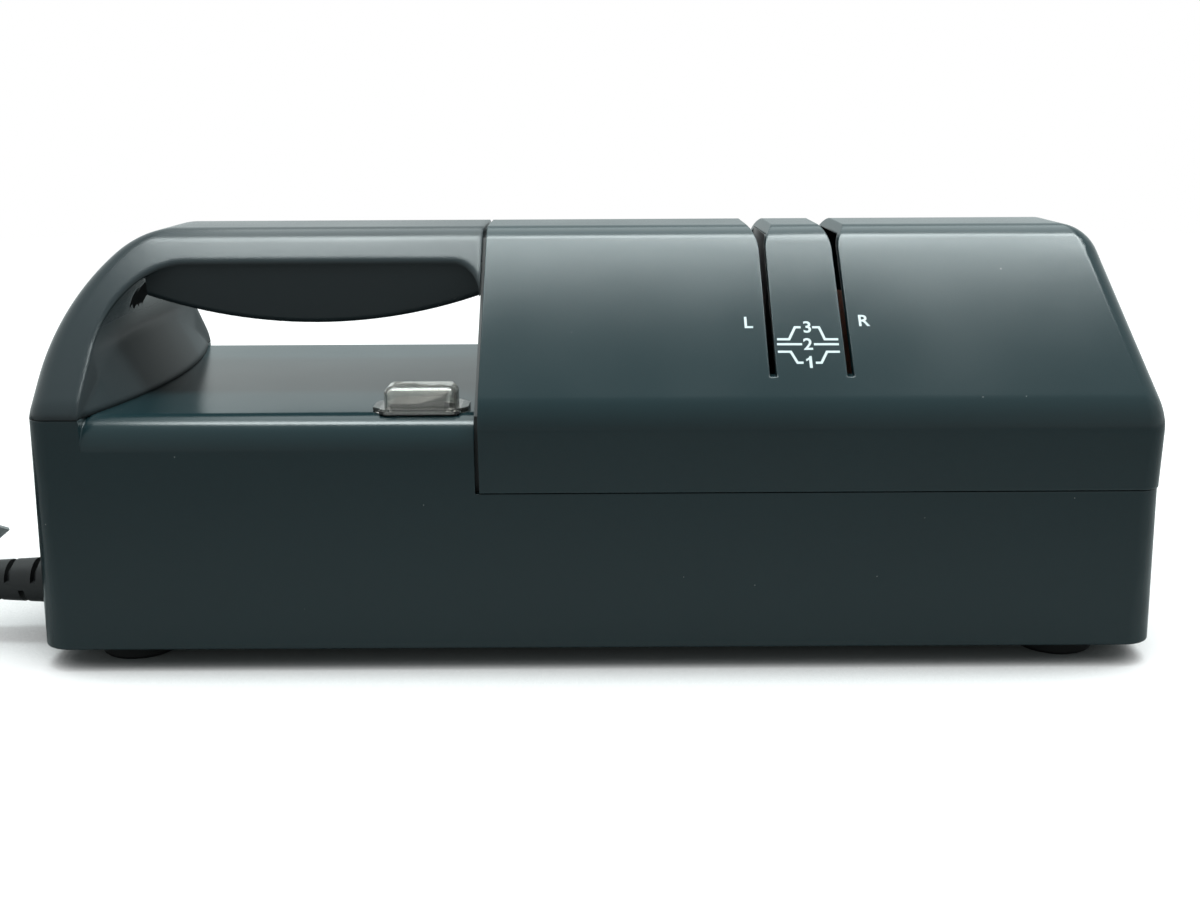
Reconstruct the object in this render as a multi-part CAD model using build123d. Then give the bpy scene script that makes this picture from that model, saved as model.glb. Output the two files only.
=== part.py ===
"""Electric knife sharpener with a carrying handle and a lift-off grinding cover.

Millimetres. X runs to the right along the body, Y to the back, Z up. The floor is Z = 0
and the origin lies under the middle of the base. Each function makes one sub-part, and
the table at the end writes each of them to its own STEP file.
"""
from build123d import *
from math import atan2, cos, degrees, pi, radians, sin, sqrt, tan
import os

os.makedirs("parts", exist_ok=True)

# ---- Base ---------------------------------------------------------------------------
base_length = 336.0
base_depth = 134.0
base_corner = 10.0
draft = 2.4
wall = 3.0
skirt_height = 7.0
rim_height = 54.4
deck_height = 76.8
deck_round = 10.0
boss_radius = 4.5
boss_sink = 1.0
rib_thickness = 2.4
pilot_radius = 1.5
tub_boss_height = 40.0

# ---- Roof form shared by the cover, the handle and the bulkhead ------------------------
roof_height = 127.0
ridge_half_width = 15.56
eave_height = 78.4
eave_round = 14.0
ridge_round = 12.0
gable_height = 73.0
gable_lean = 10.5
gable_blend = 20.0
hip_round = 7.0
crown_trim = 0.05

# ---- Clearances ------------------------------------------------------------------------
seam_gap = 0.3
plate_gap = 0.3
cover_slip = 0.5
cover_end_gap = 1.2
screw_slip = 0.08
part_gap = 0.2
pivot_slip = 0.06

# ---- Bulkhead ----------------------------------------------------------------------------
bulkhead_x = -35.2
bulkhead_thickness = 4.0
bulkhead_foot = 12.0
bulkhead_foot_width = 70.0
grommet_y = -42.0
grommet_z = 24.0
grommet_radius = 5.0

# ---- Handle and grip ---------------------------------------------------------------------
arch_low_radius = 50.0
arch_high_radius = 26.0
post_thickness = 16.2
post_bulge = 9.5
post_lean = 28.0
bar_depth = 10.3
opening_round = 22.0
flare_round = 9.0
grip_left = -140.0
grip_half_width = 23.0
grip_depth = 18.7
grip_end_depth = 10.0
grip_round = 2.0
bar_wall = 4.0
post_hollow_depth = 29.0
post_hollow_width = 38.0

# ---- Cover -------------------------------------------------------------------------------
slot_left_x = 51.8
slot_spacing = 22.6
slot_width = 2.1
slot_bottom = 87.0
slot_flare_depth = 7.0
slot_flare_radius = 10.0
lip_height = 3.0
lip_thickness = 1.8
lip_slip = 0.3
lip_root = 5.0

# ---- Feet and bottom plate ---------------------------------------------------------------
plate_bottom = 7.5
plate_thickness = 3.0
foot_to_end = 25.0
foot_to_side = 20.0
foot_radius = 12.5
foot_top_radius = 11.5
foot_recess_radius = 5.2
foot_recess_depth = 4.0
vent_left_x = -95.0
vent_right_x = 60.0
vent_width = 3.0
vent_length = 34.0
vent_pitch = 7.0
vent_count = 7

# ---- Cover screw -------------------------------------------------------------------------
cover_screw_x = 130.0
cover_screw_radius = 2.5
cover_screw_head_radius = 4.8
cover_screw_head_height = 3.3
cover_screw_length = 40.0
screw_tube_radius = 6.0
screw_tube_top = 30.0
screw_well_radius = 5.3
screw_well_depth = 4.0
clip_radius = 4.4
clip_thickness = 0.9
insert_radius = 4.0
insert_length = 12.0
cover_boss_radius = 6.5
cover_boss_bottom = 33.5

# ---- Motor -------------------------------------------------------------------------------
spindle_height = 60.0
stack_size = 72.0
stack_corner = 8.0
stack_left = -3.0
stack_length = 26.0
rotor_radius = 20.0
air_gap = 0.5
winding_inner_radius = 22.5
winding_outer_radius = 31.5
winding_overhang = 8.0
winding_slots = 8
winding_slot_radius = 4.0
winding_slip = 0.2
rotor_ring_overhang = 3.0
bracket_thickness = 4.0
bracket_standoff = 9.5
bearing_radius = 11.0
bearing_bore = 8.0
bearing_width = 7.0
bearing_race = 2.2
bearing_boss_wall = 3.0
tie_bolt_radius = 2.0
tie_bolt_offset = 30.0
motor_foot_width = 64.0
motor_foot_depth = 13.0
motor_foot_thickness = 3.0
cushion_radius = 5.5
cushion_height = 2.5
fan_radius = 30.0
fan_width = 10.0
fan_blades = 9
fan_blade_thickness = 1.4
fan_hub_radius = 8.0

# ---- Grinding spindle --------------------------------------------------------------------
wheel_radius = 44.0
wheel_hub_radius = 18.0
wheel_rim_width = 7.0
flank_angle = 20.0
flange_radius = 15.0
flange_width = 1.6
lock_nut_flats = 15.0
lock_nut_height = 7.0
outboard_x = 101.0
outboard_thickness = 9.0
outboard_half_width = 24.0
outboard_foot = 10.0

# ---- Blade guide -------------------------------------------------------------------------
guide_gap = 0.6
guide_bottom = 90.0
guide_half_width = 22.0
magnet_thickness = 1.5
magnet_length = 26.0
magnet_height = 10.0
magnet_z = 104.0

# ---- Switch ------------------------------------------------------------------------------
switch_x = -51.5
switch_to_front = 16.0
switch_length = 21.4
switch_width = 12.6
switch_depth = 22.0
switch_well = 8.5
switch_wall = 1.1
boot_length = 28.0
boot_width = 15.0
boot_flange = 1.5
boot_chamfer = 4.0
dome_length = 21.4
dome_width = 12.0
dome_height = 7.6
dome_round = 2.6
dome_wall = 0.8
rocker_length = 17.0
rocker_width = 9.4
rocker_rise = 5.2
rocker_drop = 3.0
rocker_pivot_depth = 1.3
rocker_pin_radius = 1.2
rocker_dish = 1.2
rocker_tilt = 8.0

# ---- Terminal block ----------------------------------------------------------------------
terminal_x = -100.0
terminal_length = 24.0
terminal_width = 16.0
terminal_height = 12.0
terminal_pitch = 6.0

# ---- Mains lead --------------------------------------------------------------------------
cord_radius = 3.75
clamp_to_end = 30.0
clamp_width = 8.0
lead_past_clamp = 6.0
relief_to_front = 29.0
relief_z = 18.5
relief_radius = 7.6
relief_tip_radius = 5.0
relief_length = 48.0
relief_neck_radius = 5.8
relief_flange = 3.0
relief_pitch = 4.2
relief_slot = 1.8
relief_slots = 9
coil_to_end = 110.0
coil_past_relief = 45.5
coil_inner_radius = 29.5
coil_outer_radius = 52.5
coil_height = 15.0
coil_lift = 1.2
coil_round = 3.0
tie_thickness = 1.1
tie_width = 5.0
tie_tail_width = 4.0
tie_tail_length = 19.0
tie_tail_rise = 39.0
tie_tail_roll = 50.0
tie_front_tail_length = 13.0
plug_length = 20.0
plug_width = 24.0
plug_height = 13.5
plug_round = 4.0
plug_tail = 10.0
plug_tail_radius = 4.9
plug_tail_root_radius = 6.2
blade_length = 16.0
blade_width = 6.35
wide_blade_width = 7.9
blade_thickness = 1.5
blade_spacing = 12.7

# ---- Derived places ----------------------------------------------------------------------
foot_x = base_length / 2 - foot_to_end
foot_y = base_depth / 2 - foot_to_side
switch_y = -base_depth / 2 + switch_to_front
relief_y = -base_depth / 2 + relief_to_front
clamp_x = -base_length / 2 + clamp_to_end
inner_lead_end = clamp_x + clamp_width + lead_past_clamp
coil_x = -base_length / 2 - coil_to_end
coil_y = relief_y + coil_past_relief
plate_top = plate_bottom + plate_thickness
bulkhead_right = bulkhead_x + bulkhead_thickness
cover_left = bulkhead_x + cover_end_gap
half_length_at_deck = base_length / 2 - (deck_height - skirt_height) * tan(radians(draft))
roof_half_length = base_length / 2 - (rim_height - skirt_height) * tan(radians(draft))
roof_half_depth = base_depth / 2 - (rim_height - skirt_height) * tan(radians(draft))
roof_pitch = degrees(atan2(roof_height - eave_height, roof_half_depth - ridge_half_width))
bar_bottom = roof_height - bar_depth
post_hollow_top = roof_height - post_hollow_depth
slot_flare_start = roof_height - slot_flare_depth
post_inner_x = -half_length_at_deck + post_thickness
slot_right_x = slot_left_x + slot_spacing
guide_x = (slot_left_x + slot_right_x) / 2
stack_right = stack_left + stack_length
bracket_left_x = stack_left - bracket_standoff - bracket_thickness
bracket_right_x = stack_right + bracket_standoff
flank_rise = (wheel_radius - (slot_bottom - spindle_height)) * tan(radians(flank_angle))
flank_run = (wheel_radius - wheel_hub_radius) * tan(radians(flank_angle))
left_rim_x = slot_left_x - flank_rise
right_rim_x = slot_right_x + flank_rise
outer_x = base_length
outer_y = base_depth


# ---- Plain shapes ------------------------------------------------------------------------
def block(x0, x1, y0, y1, z0, z1):
    """Box between two corners."""
    middle = Pos((x0 + x1) / 2, (y0 + y1) / 2, (z0 + z1) / 2)
    return middle * Box(x1 - x0, y1 - y0, z1 - z0)


def rod_x(radius, x0, x1, y=0.0, z=0.0):
    """Cylinder along X."""
    return Pos((x0 + x1) / 2, y, z) * Rot(0, 90, 0) * Cylinder(radius, x1 - x0)


def rod_y(radius, y0, y1, x=0.0, z=0.0):
    """Cylinder along Y."""
    return Pos(x, (y0 + y1) / 2, z) * Rot(90, 0, 0) * Cylinder(radius, y1 - y0)


def rod_z(radius, z0, z1, x=0.0, y=0.0):
    """Cylinder along Z."""
    return Pos(x, y, (z0 + z1) / 2) * Cylinder(radius, z1 - z0)


def screw(radius, length, head_radius, head_height):
    """Cross-head screw along +Z, the underside of its head at Z = 0."""
    head = fillet(Cylinder(head_radius, head_height).edges().group_by(Axis.Z)[0], head_height / 3)
    body = Pos(0, 0, -head_height / 2) * head + rod_z(radius, 0, length)
    recess = Box(head_radius * 1.1, head_radius * 0.28, head_height)
    cross = recess + Rot(0, 0, 90) * recess
    return body - Pos(0, 0, -head_height) * cross


def joined(pieces):
    """One compound of separate solids."""
    return Compound(children=list(pieces))


def long_edges(shape, z):
    """Edges that run along X at one height."""
    return [e for e in shape.edges().filter_by(Axis.X) if abs(e.center().Z - z) < 0.01]


# ---- Body forms --------------------------------------------------------------------------
def drafted(inset, top):
    """The base block up to a height, with every wall moved inwards by inset."""
    plan = RectangleRounded(
        base_length - 2 * inset, base_depth - 2 * inset, base_corner - inset)
    return extrude(Plane.XY.offset(skirt_height) * plan, amount=top - skirt_height, taper=draft)


def roof_section(inset, bottom):
    """Outline of the roof seen along X: upright sides, two slopes and a flat ridge.

    The outside, with no inset, is rounded at eaves and ridge. Insets keep sharp corners.
    """
    pitch = radians(roof_pitch)
    side = roof_half_depth - inset
    eave_z = eave_height - inset * (1 / cos(pitch) - tan(pitch))
    ridge_z = roof_height - inset
    ridge = roof_half_depth - (ridge_z - eave_height + inset / cos(pitch)) / tan(pitch)
    outline = Polygon((-side, bottom), (side, bottom), (side, eave_z), (ridge, ridge_z),
                      (-ridge, ridge_z), (-side, eave_z), align=None)
    if inset > 0:
        return outline
    eaves = [v for v in outline.vertices() if abs(v.Y - eave_z) < 0.01]
    outline = fillet(eaves, eave_round)
    ridges = [v for v in outline.vertices()
              if abs(v.Y - ridge_z) < 0.01 and abs(abs(v.X) - ridge) < 0.01]
    return fillet(ridges, ridge_round)


def gable_section(inset, bottom, left):
    """Outline of the cover seen along Y: its right end leans in and rounds into the top.

    An inset outline has one flat in place of the rounded top corner.
    """
    lean = radians(gable_lean)
    side = roof_half_length - inset
    top_z = roof_height - inset
    corner = roof_half_length - inset / cos(lean) - (top_z - gable_height) * tan(lean)
    blend_z = top_z - (side - corner) / tan(lean)
    outline = Polygon((left, bottom), (side, bottom), (side, blend_z), (corner, top_z),
                      (left, top_z), align=None)
    top = [v for v in outline.vertices() if abs(v.Y - top_z) < 0.01 and v.X > left + 1]
    if inset > 0:
        turn = radians(90 - gable_lean)
        flat = (ridge_round - inset) * (tan(turn / 2) - tan(turn / 4))
        return chamfer(top, flat)
    outline = fillet(top, ridge_round)
    middle = [v for v in outline.vertices() if abs(v.Y - blend_z) < 0.01]
    return fillet(middle, gable_blend)


def hip_edges(shape, side):
    """Upright corner and hip edges at one end of a roof form, side -1 or 1."""
    found = []
    for edge in shape.edges():
        size = edge.bounding_box()
        at_end = side * edge.center().X > base_length / 4
        if at_end and size.size.Z > 0.5 and abs(edge.center().Y) > ridge_round / 2:
            found.append(edge)
    return found


def cover_form(inset, bottom, left):
    """Solid of the cover, shrunk by inset, with sharp hips."""
    along = extrude(Plane.YZ * roof_section(inset, bottom), amount=outer_x, both=True)
    across = extrude(Plane.XZ * gable_section(inset, bottom, left), amount=outer_y, both=True)
    return along & across


# ---- Base housing ------------------------------------------------------------------------
def housing_outside():
    """Left block under the post, rounded deck and low tub on the right."""
    post_block = drafted(0, deck_height) & block(-outer_x, post_inner_x, -outer_y, outer_y,
                                                 0, deck_height)
    deck = drafted(0, deck_height) & block(post_inner_x, bulkhead_x, -outer_y, outer_y,
                                           0, deck_height)
    deck = fillet(long_edges(deck, deck_height), deck_round)
    tub = drafted(0, rim_height) & block(bulkhead_x, outer_x, -outer_y, outer_y, 0, rim_height)
    return post_block + deck + tub


def housing_hollow():
    """Inside of the base, one wall thickness in from the outside."""
    ceiling = deck_height - wall
    step = post_inner_x - wall
    inside = drafted(wall, ceiling)
    left = inside & block(-outer_x, step, -outer_y, outer_y, 0, deck_height)
    middle = inside & block(step, bulkhead_right, -outer_y, outer_y, 0, deck_height)
    middle = fillet(long_edges(middle, ceiling), deck_round - wall)
    right = inside & block(bulkhead_x, outer_x, -outer_y, outer_y, 0, deck_height)
    return left + middle + right


def rim_lip():
    """Ledge inside the tub that locates the cover."""
    root = drafted(wall - 0.1, rim_height) - drafted(wall + lip_thickness, rim_height)
    root = root & block(bulkhead_right + 1, outer_x, -outer_y, outer_y,
                        rim_height - lip_root, rim_height)
    tip_top = rim_height + lip_height
    tip = drafted(wall + lip_slip, tip_top) - drafted(wall + lip_thickness, tip_top)
    tip = tip & block(bulkhead_right + 1, outer_x, -outer_y, outer_y, rim_height, tip_top)
    return root + tip


def corner_bosses():
    """Four screw posts with ribs to the front and back walls."""
    posts = Part()
    for side_x in (-1, 1):
        top = deck_height - wall / 2 if side_x < 0 else tub_boss_height
        for side_y in (-1, 1):
            x = side_x * foot_x
            y = side_y * foot_y
            ends = sorted((y, side_y * base_depth / 2))
            posts += rod_z(boss_radius, plate_top, top, x, y)
            posts += block(x - rib_thickness / 2, x + rib_thickness / 2, ends[0], ends[1],
                           plate_top, min(top, deck_height - deck_round))
    return posts & drafted(wall / 2, deck_height)


def corner_pilots():
    """Pilot holes of the four screw posts."""
    holes = Part()
    for x in (-foot_x, foot_x):
        for y in (-foot_y, foot_y):
            holes += rod_z(pilot_radius, plate_top - 1, tub_boss_height - 6, x, y)
    return holes


def post_screw_places():
    """Plan positions of the two screws that hold the handle post."""
    x = -half_length_at_deck + bar_wall + boss_radius - boss_sink
    return [(x, -22.0), (x, 22.0)]


def base_housing():
    """Moulded tub: closed deck on the left, open rim on the right."""
    body = housing_outside() - housing_hollow() + rim_lip() + corner_bosses()
    body -= corner_pilots()
    body -= rod_x(relief_neck_radius + screw_slip, -base_length / 2 - 1,
                  -base_length / 2 + 2 * wall, relief_y, relief_z)
    body -= block(switch_x - switch_length / 2 - part_gap, switch_x + switch_length / 2 + part_gap,
                  switch_y - switch_width / 2 - part_gap, switch_y + switch_width / 2 + part_gap,
                  deck_height - 2 * wall, deck_height + 1)
    for x, y in post_screw_places():
        body -= rod_z(pilot_radius + 0.4, deck_height - 2 * wall, deck_height + 1, x, y)
    return body


# ---- Bottom plate, feet and their screws -------------------------------------------------
def motor_foot_places():
    """Plan positions of the four motor fixings."""
    y = motor_foot_width / 2 - 7
    xs = (bracket_left_x + bracket_thickness + motor_foot_depth / 2 - 1.5,
          bracket_right_x - motor_foot_depth / 2 + 1.5)
    return [(x, side * y) for x in xs for side in (-1, 1)]


def outboard_foot_places():
    """Plan positions of the two screws of the outboard bearing stand."""
    x = outboard_x + outboard_thickness + outboard_foot / 2
    return [(x, -16.0), (x, 16.0)]


def bulkhead_foot_places():
    """Plan positions of the two screws of the bulkhead foot."""
    x = bulkhead_x - bulkhead_foot / 2
    return [(x, -26.0), (x, 26.0)]


def bottom_plate():
    """Closing plate with vents and the guide tube of the cover screw."""
    plate = drafted(wall + plate_gap, plate_top) & block(-outer_x, outer_x, -outer_y, outer_y,
                                                         plate_bottom, plate_top)
    plate += rod_z(screw_tube_radius, plate_bottom, screw_tube_top, cover_screw_x)
    plate += rod_z(screw_tube_radius + 3, plate_bottom, plate_bottom + 2 * screw_well_depth,
                   cover_screw_x)
    plate -= rod_z(screw_well_radius, plate_bottom - 1, plate_bottom + screw_well_depth,
                   cover_screw_x)
    plate -= rod_z(cover_screw_radius + screw_slip, plate_bottom, screw_tube_top + 1,
                   cover_screw_x)
    for x in (-foot_x, foot_x):
        for y in (-foot_y, foot_y):
            plate -= rod_z(pilot_radius + 0.4, plate_bottom - 1, plate_top + 1, x, y)
    for x, y in motor_foot_places() + outboard_foot_places() + bulkhead_foot_places():
        plate -= rod_z(pilot_radius, plate_bottom - 1, plate_top + 1, x, y)
    for row_x in (vent_left_x, vent_right_x):
        for n in range(vent_count):
            x = row_x + (n - (vent_count - 1) / 2) * vent_pitch
            slot = SlotOverall(vent_length, vent_width, rotation=90)
            plate -= Pos(x, 0, plate_bottom - 1) * extrude(slot, amount=plate_thickness + 2)
    return plate


def foot_solid():
    """One rubber foot with a recess for its screw."""
    cone = Cone(foot_radius, foot_top_radius, plate_bottom, align=(Align.CENTER, Align.CENTER,
                                                                   Align.MIN))
    cone = fillet(cone.edges().group_by(Axis.Z)[0], 1.2)
    cone -= rod_z(foot_recess_radius, -1, foot_recess_depth)
    return cone - rod_z(pilot_radius + 0.4, 0, plate_bottom + 1)


def foot_places():
    """Plan positions of the four feet."""
    return [(x, y) for x in (-foot_x, foot_x) for y in (-foot_y, foot_y)]


def rubber_feet():
    return joined(Pos(x, y, 0) * foot_solid() for x, y in foot_places())


def foot_screws():
    one = screw(pilot_radius, 22.0, 3.4, 2.2)
    return joined(Pos(x, y, foot_recess_depth) * one for x, y in foot_places())


# ---- Bulkhead ----------------------------------------------------------------------------
def bar_screw_places():
    """Y and Z of the two screws that hold the handle bar to the bulkhead."""
    z = (bar_bottom + roof_height) / 2 - 1.4
    return [(-8.0, z), (8.0, z)]


def bulkhead():
    """Upright plate that closes the deck, carries the bar and fits inside the cover."""
    inset = wall + cover_slip
    high = extrude(Plane.YZ * roof_section(inset, rim_height), amount=outer_x, both=True)
    high = high & block(bulkhead_x, bulkhead_right, -outer_y, outer_y, rim_height, roof_height)
    low = drafted(inset, rim_height) & block(bulkhead_x, bulkhead_right, -outer_y, outer_y,
                                             plate_top, rim_height)
    half = bulkhead_foot_width / 2
    foot = block(bulkhead_x - bulkhead_foot, bulkhead_x, -half, half, plate_top,
                 plate_top + wall)
    body = high + low + foot
    body -= rod_x(grommet_radius, bulkhead_x - 1, bulkhead_right + 1, grommet_y, grommet_z)
    for y, z in bar_screw_places():
        body -= rod_x(pilot_radius + 0.4, bulkhead_x - 1, bulkhead_right + 1, y, z)
    for x, y in bulkhead_foot_places():
        body -= rod_z(pilot_radius + 0.4, plate_top - 1, plate_top + wall + 1, x, y)
    return body


def wire_grommet():
    """Rubber ring that lines the wire hole of the bulkhead."""
    lip = grommet_radius + 1.4
    ring = rod_x(grommet_radius, bulkhead_x, bulkhead_right, grommet_y, grommet_z)
    ring += rod_x(lip, bulkhead_x - 1.2, bulkhead_x, grommet_y, grommet_z)
    ring += rod_x(lip, bulkhead_right, bulkhead_right + 1.2, grommet_y, grommet_z)
    return ring - rod_x(grommet_radius - 1.4, bulkhead_x - 3, bulkhead_right + 3,
                        grommet_y, grommet_z)


# ---- Handle ------------------------------------------------------------------------------
def handle_outline():
    """Outside of the handle seen along Y: post, arched corner and level bar.

    It starts at the rim height, so that the hip edges are rounded before the deck cuts them.
    """
    turn = radians(45)
    arch_start = roof_height - arch_low_radius * sin(turn) - arch_high_radius * (1 - cos(turn))
    left = -half_length_at_deck
    side = Line((left, rim_height), (left, arch_start))
    low = JernArc(side @ 1, (0, 1), arch_low_radius, -45)
    high = JernArc(low @ 1, (1, 1), arch_high_radius, -45)
    top = Line(high @ 1, (bulkhead_x, roof_height))
    end = Line(top @ 1, (bulkhead_x, rim_height))
    bottom = Line(end @ 1, (left, rim_height))
    return make_face([side, low, high, top, end, bottom])


def handle_opening():
    """Finger opening seen along Y, rounded into the post and flared at the bulkhead."""
    below = deck_height - 1
    outline = Polygon((post_inner_x, below), (bulkhead_x, below), (bulkhead_x, bar_bottom),
                      (post_inner_x, bar_bottom), align=None)
    corners = outline.vertices()
    inner = [v for v in corners if v.X < bulkhead_x - 1 and v.Y > below + 1]
    outline = fillet(inner, opening_round)
    outer = [v for v in outline.vertices()
             if abs(v.X - bulkhead_x) < 0.01 and v.Y > below + 1]
    return fillet(outer, flare_round)


def post_swell():
    """Lens of material at the foot of the post: full at the deck, leaning back upwards."""
    half = roof_half_depth
    radius = (half ** 2 + post_bulge ** 2) / (2 * post_bulge)
    middle_x = post_inner_x + post_bulge - radius / cos(radians(post_lean))
    lens = Pos(middle_x, 0, deck_height) * Rot(0, -post_lean, 0) * rod_z(radius, -radius, radius)
    return lens & block(post_inner_x - 1, post_inner_x + post_bulge + 1, -half, half,
                        deck_height, bar_bottom)


def grip_solid(grow):
    """Grip insert under the bar, enlarged by grow."""
    left = grip_left - grow
    right = bulkhead_x - part_gap + grow
    end_z = bar_bottom - grip_end_depth - grow
    low_z = bar_bottom - grip_depth - grow
    top = Line((left, bar_bottom), (right, bar_bottom))
    down = Line(top @ 1, (right, end_z))
    belly = ThreePointArc(down @ 1, ((left + right) / 2, low_z), (left, end_z))
    close = Line(belly @ 1, top @ 0)
    side = extrude(Plane.XZ * make_face([top, down, belly, close]),
                   amount=grip_half_width + grow, both=True)
    under = [e for e in side.edges()
             if e.length > 60 and abs(e.center().Y) > 1 and e.center().Z < bar_bottom - 1]
    return fillet(under, grip_round)


def handle_shell():
    """Post and bar in one moulding, hollow inside.

    The trim takes off the cusp in which the hip rounding ends at the crown.
    """
    form = extrude(Plane.YZ * roof_section(0, rim_height), amount=outer_x, both=True)
    form = form & extrude(Plane.XZ * handle_outline(), amount=outer_y, both=True)
    form = fillet(hip_edges(form, -1), hip_round)
    form = form & block(-outer_x, outer_x, -outer_y, outer_y, deck_height,
                        roof_height - crown_trim)
    opening = extrude(Plane.XZ * handle_opening(), amount=outer_y, both=True)
    body = form - (opening - post_swell())
    hollow = ridge_half_width - wall / 2
    body -= block(grip_left + 2 * bar_wall, bulkhead_x - bar_wall, -hollow, hollow,
                  bar_bottom - 1, roof_height - wall)
    body -= grip_solid(part_gap) & block(-outer_x, outer_x, -outer_y, outer_y, 0, bar_bottom)
    body -= block(-half_length_at_deck + bar_wall, post_inner_x - wall, -post_hollow_width,
                  post_hollow_width, deck_height - 1, post_hollow_top)
    for y, z in bar_screw_places():
        body += rod_x(3.4, bulkhead_x - 16, bulkhead_x, y, z)
        body -= rod_x(pilot_radius, bulkhead_x - 14, bulkhead_x + 1, y, z)
    for x, y in post_screw_places():
        body += rod_z(boss_radius, deck_height, post_hollow_top + 1, x, y)
        body -= rod_z(pilot_radius, deck_height - 1, post_hollow_top - 6, x, y)
    return body


def handle_grip():
    return grip_solid(0)


def handle_screws():
    """Two screws up into the post and two sideways into the bar."""
    upright = screw(pilot_radius, 16.0, 3.2, 2.2)
    sideways = Rot(0, -90, 0) * screw(pilot_radius, 15.0, 3.0, 2.0)
    pieces = [Pos(x, y, deck_height - wall) * upright for x, y in post_screw_places()]
    pieces += [Pos(bulkhead_right, y, z) * sideways for y, z in bar_screw_places()]
    return joined(pieces)


def plate_screws():
    """Screws from the bulkhead foot, motor feet and bearing stand into the bottom plate."""
    down = Rot(180, 0, 0) * screw(pilot_radius, 5.5, 2.8, 1.8)
    pieces = [Pos(x, y, plate_top + wall) * down for x, y in bulkhead_foot_places()]
    pieces += [Pos(x, y, plate_top + wall) * down for x, y in outboard_foot_places()]
    longer = Rot(180, 0, 0) * screw(pilot_radius, 8.0, 2.8, 1.8)
    foot_top = plate_top + cushion_height + motor_foot_thickness
    pieces += [Pos(x, y, foot_top) * longer for x, y in motor_foot_places()]
    return joined(pieces)


# ---- Cover -------------------------------------------------------------------------------
def slot_cutter(x):
    """Blade slot through the roof, upright sides that flare open towards the ridge."""
    half = slot_width / 2
    rise = roof_height - slot_flare_start
    spread = slot_flare_radius - sqrt(slot_flare_radius ** 2 - rise ** 2)
    bend = slot_flare_radius - sqrt(slot_flare_radius ** 2 - (rise / 2) ** 2)
    middle_z = slot_flare_start + rise / 2
    over = roof_height + 2
    base = Line((x - half, slot_bottom), (x + half, slot_bottom))
    right = Line(base @ 1, (x + half, slot_flare_start))
    right_flare = ThreePointArc(right @ 1, (x + half + bend, middle_z),
                                (x + half + spread, roof_height))
    right_top = Line(right_flare @ 1, (x + half + spread, over))
    top = Line(right_top @ 1, (x - half - spread, over))
    left_top = Line(top @ 1, (x - half - spread, roof_height))
    left_flare = ThreePointArc(left_top @ 1, (x - half - bend, middle_z),
                               (x - half, slot_flare_start))
    left = Line(left_flare @ 1, base @ 0)
    outline = make_face([base, right, right_flare, right_top, top, left_top, left_flare, left])
    return extrude(Plane.XZ * outline, amount=outer_y, both=True)


def cover():
    """Lift-off roof shell with two blade slots and the boss for its screw."""
    bottom = rim_height + seam_gap
    outside = cover_form(0, bottom, cover_left)
    outside = fillet(hip_edges(outside, 1), hip_round)
    shell = outside - cover_form(wall, bottom - 1, cover_left - 1)
    boss = rod_z(cover_boss_radius, cover_boss_bottom, roof_height - wall / 2, cover_screw_x)
    web = block(cover_screw_x - rib_thickness / 2, cover_screw_x + rib_thickness / 2,
                -24, 24, roof_height - 18, roof_height - wall / 2)
    web = web & cover_form(wall / 2, bottom, cover_left)
    shell = shell + boss + web
    shell -= rod_z(insert_radius, cover_boss_bottom - 1, cover_boss_bottom + insert_length,
                   cover_screw_x)
    shell -= rod_z(cover_screw_radius + 0.6, cover_boss_bottom, cover_boss_bottom + 26,
                   cover_screw_x)
    for x in (slot_left_x, slot_right_x):
        shell -= slot_cutter(x)
    return shell


def cover_insert():
    """Brass insert pressed into the boss of the cover."""
    ring = rod_z(insert_radius, cover_boss_bottom, cover_boss_bottom + insert_length,
                 cover_screw_x)
    return ring - rod_z(cover_screw_radius + screw_slip, cover_boss_bottom - 1,
                        roof_height, cover_screw_x)


def cover_screw():
    """Captive screw turned from underneath."""
    one = screw(cover_screw_radius, cover_screw_length, cover_screw_head_radius,
                cover_screw_head_height)
    return Pos(cover_screw_x, 0, plate_bottom + screw_well_depth - part_gap) * one


def screw_clip():
    """Retaining ring that keeps the cover screw in its tube."""
    low = screw_tube_top + part_gap
    ring = rod_z(clip_radius, low, low + clip_thickness, cover_screw_x)
    return ring - rod_z(cover_screw_radius, low - 1, low + 2, cover_screw_x)


def guide_block():
    """Divider under the middle strip of the roof, its sides flush with the slots."""
    half = slot_spacing / 2 - slot_width / 2 - guide_gap
    body = cover_form(wall, rim_height, cover_left)
    body = body & block(guide_x - half, guide_x + half, -guide_half_width, guide_half_width,
                        guide_bottom, roof_height)
    for side in (-1, 1):
        face = guide_x + side * half
        xs = sorted((face - side * magnet_thickness, face + side))
        body -= block(xs[0], xs[1], -magnet_length / 2, magnet_length / 2,
                      magnet_z - magnet_height / 2, magnet_z + magnet_height / 2)
    body -= rod_y(3.0, -outer_y, outer_y, guide_x, magnet_z + 10)
    return body


def guide_magnets():
    """Two flat magnets let into the sides of the divider."""
    half = slot_spacing / 2 - slot_width / 2 - guide_gap
    pieces = []
    for side in (-1, 1):
        face = guide_x + side * half
        xs = sorted((face - side * magnet_thickness, face))
        pieces.append(block(xs[0], xs[1], -magnet_length / 2, magnet_length / 2,
                            magnet_z - magnet_height / 2, magnet_z + magnet_height / 2))
    return joined(pieces)


# ---- Motor -------------------------------------------------------------------------------
def bolt_places():
    """Y and Z of the four tie bolts."""
    return [(y * tie_bolt_offset, spindle_height + z * tie_bolt_offset)
            for y in (-1, 1) for z in (-1, 1)]


def slot_places(radius):
    """Y and Z of the winding slots at a radius round the spindle."""
    turns = [2 * pi * (n + 0.5) / winding_slots for n in range(winding_slots)]
    return [(radius * cos(t), spindle_height + radius * sin(t)) for t in turns]


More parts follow.
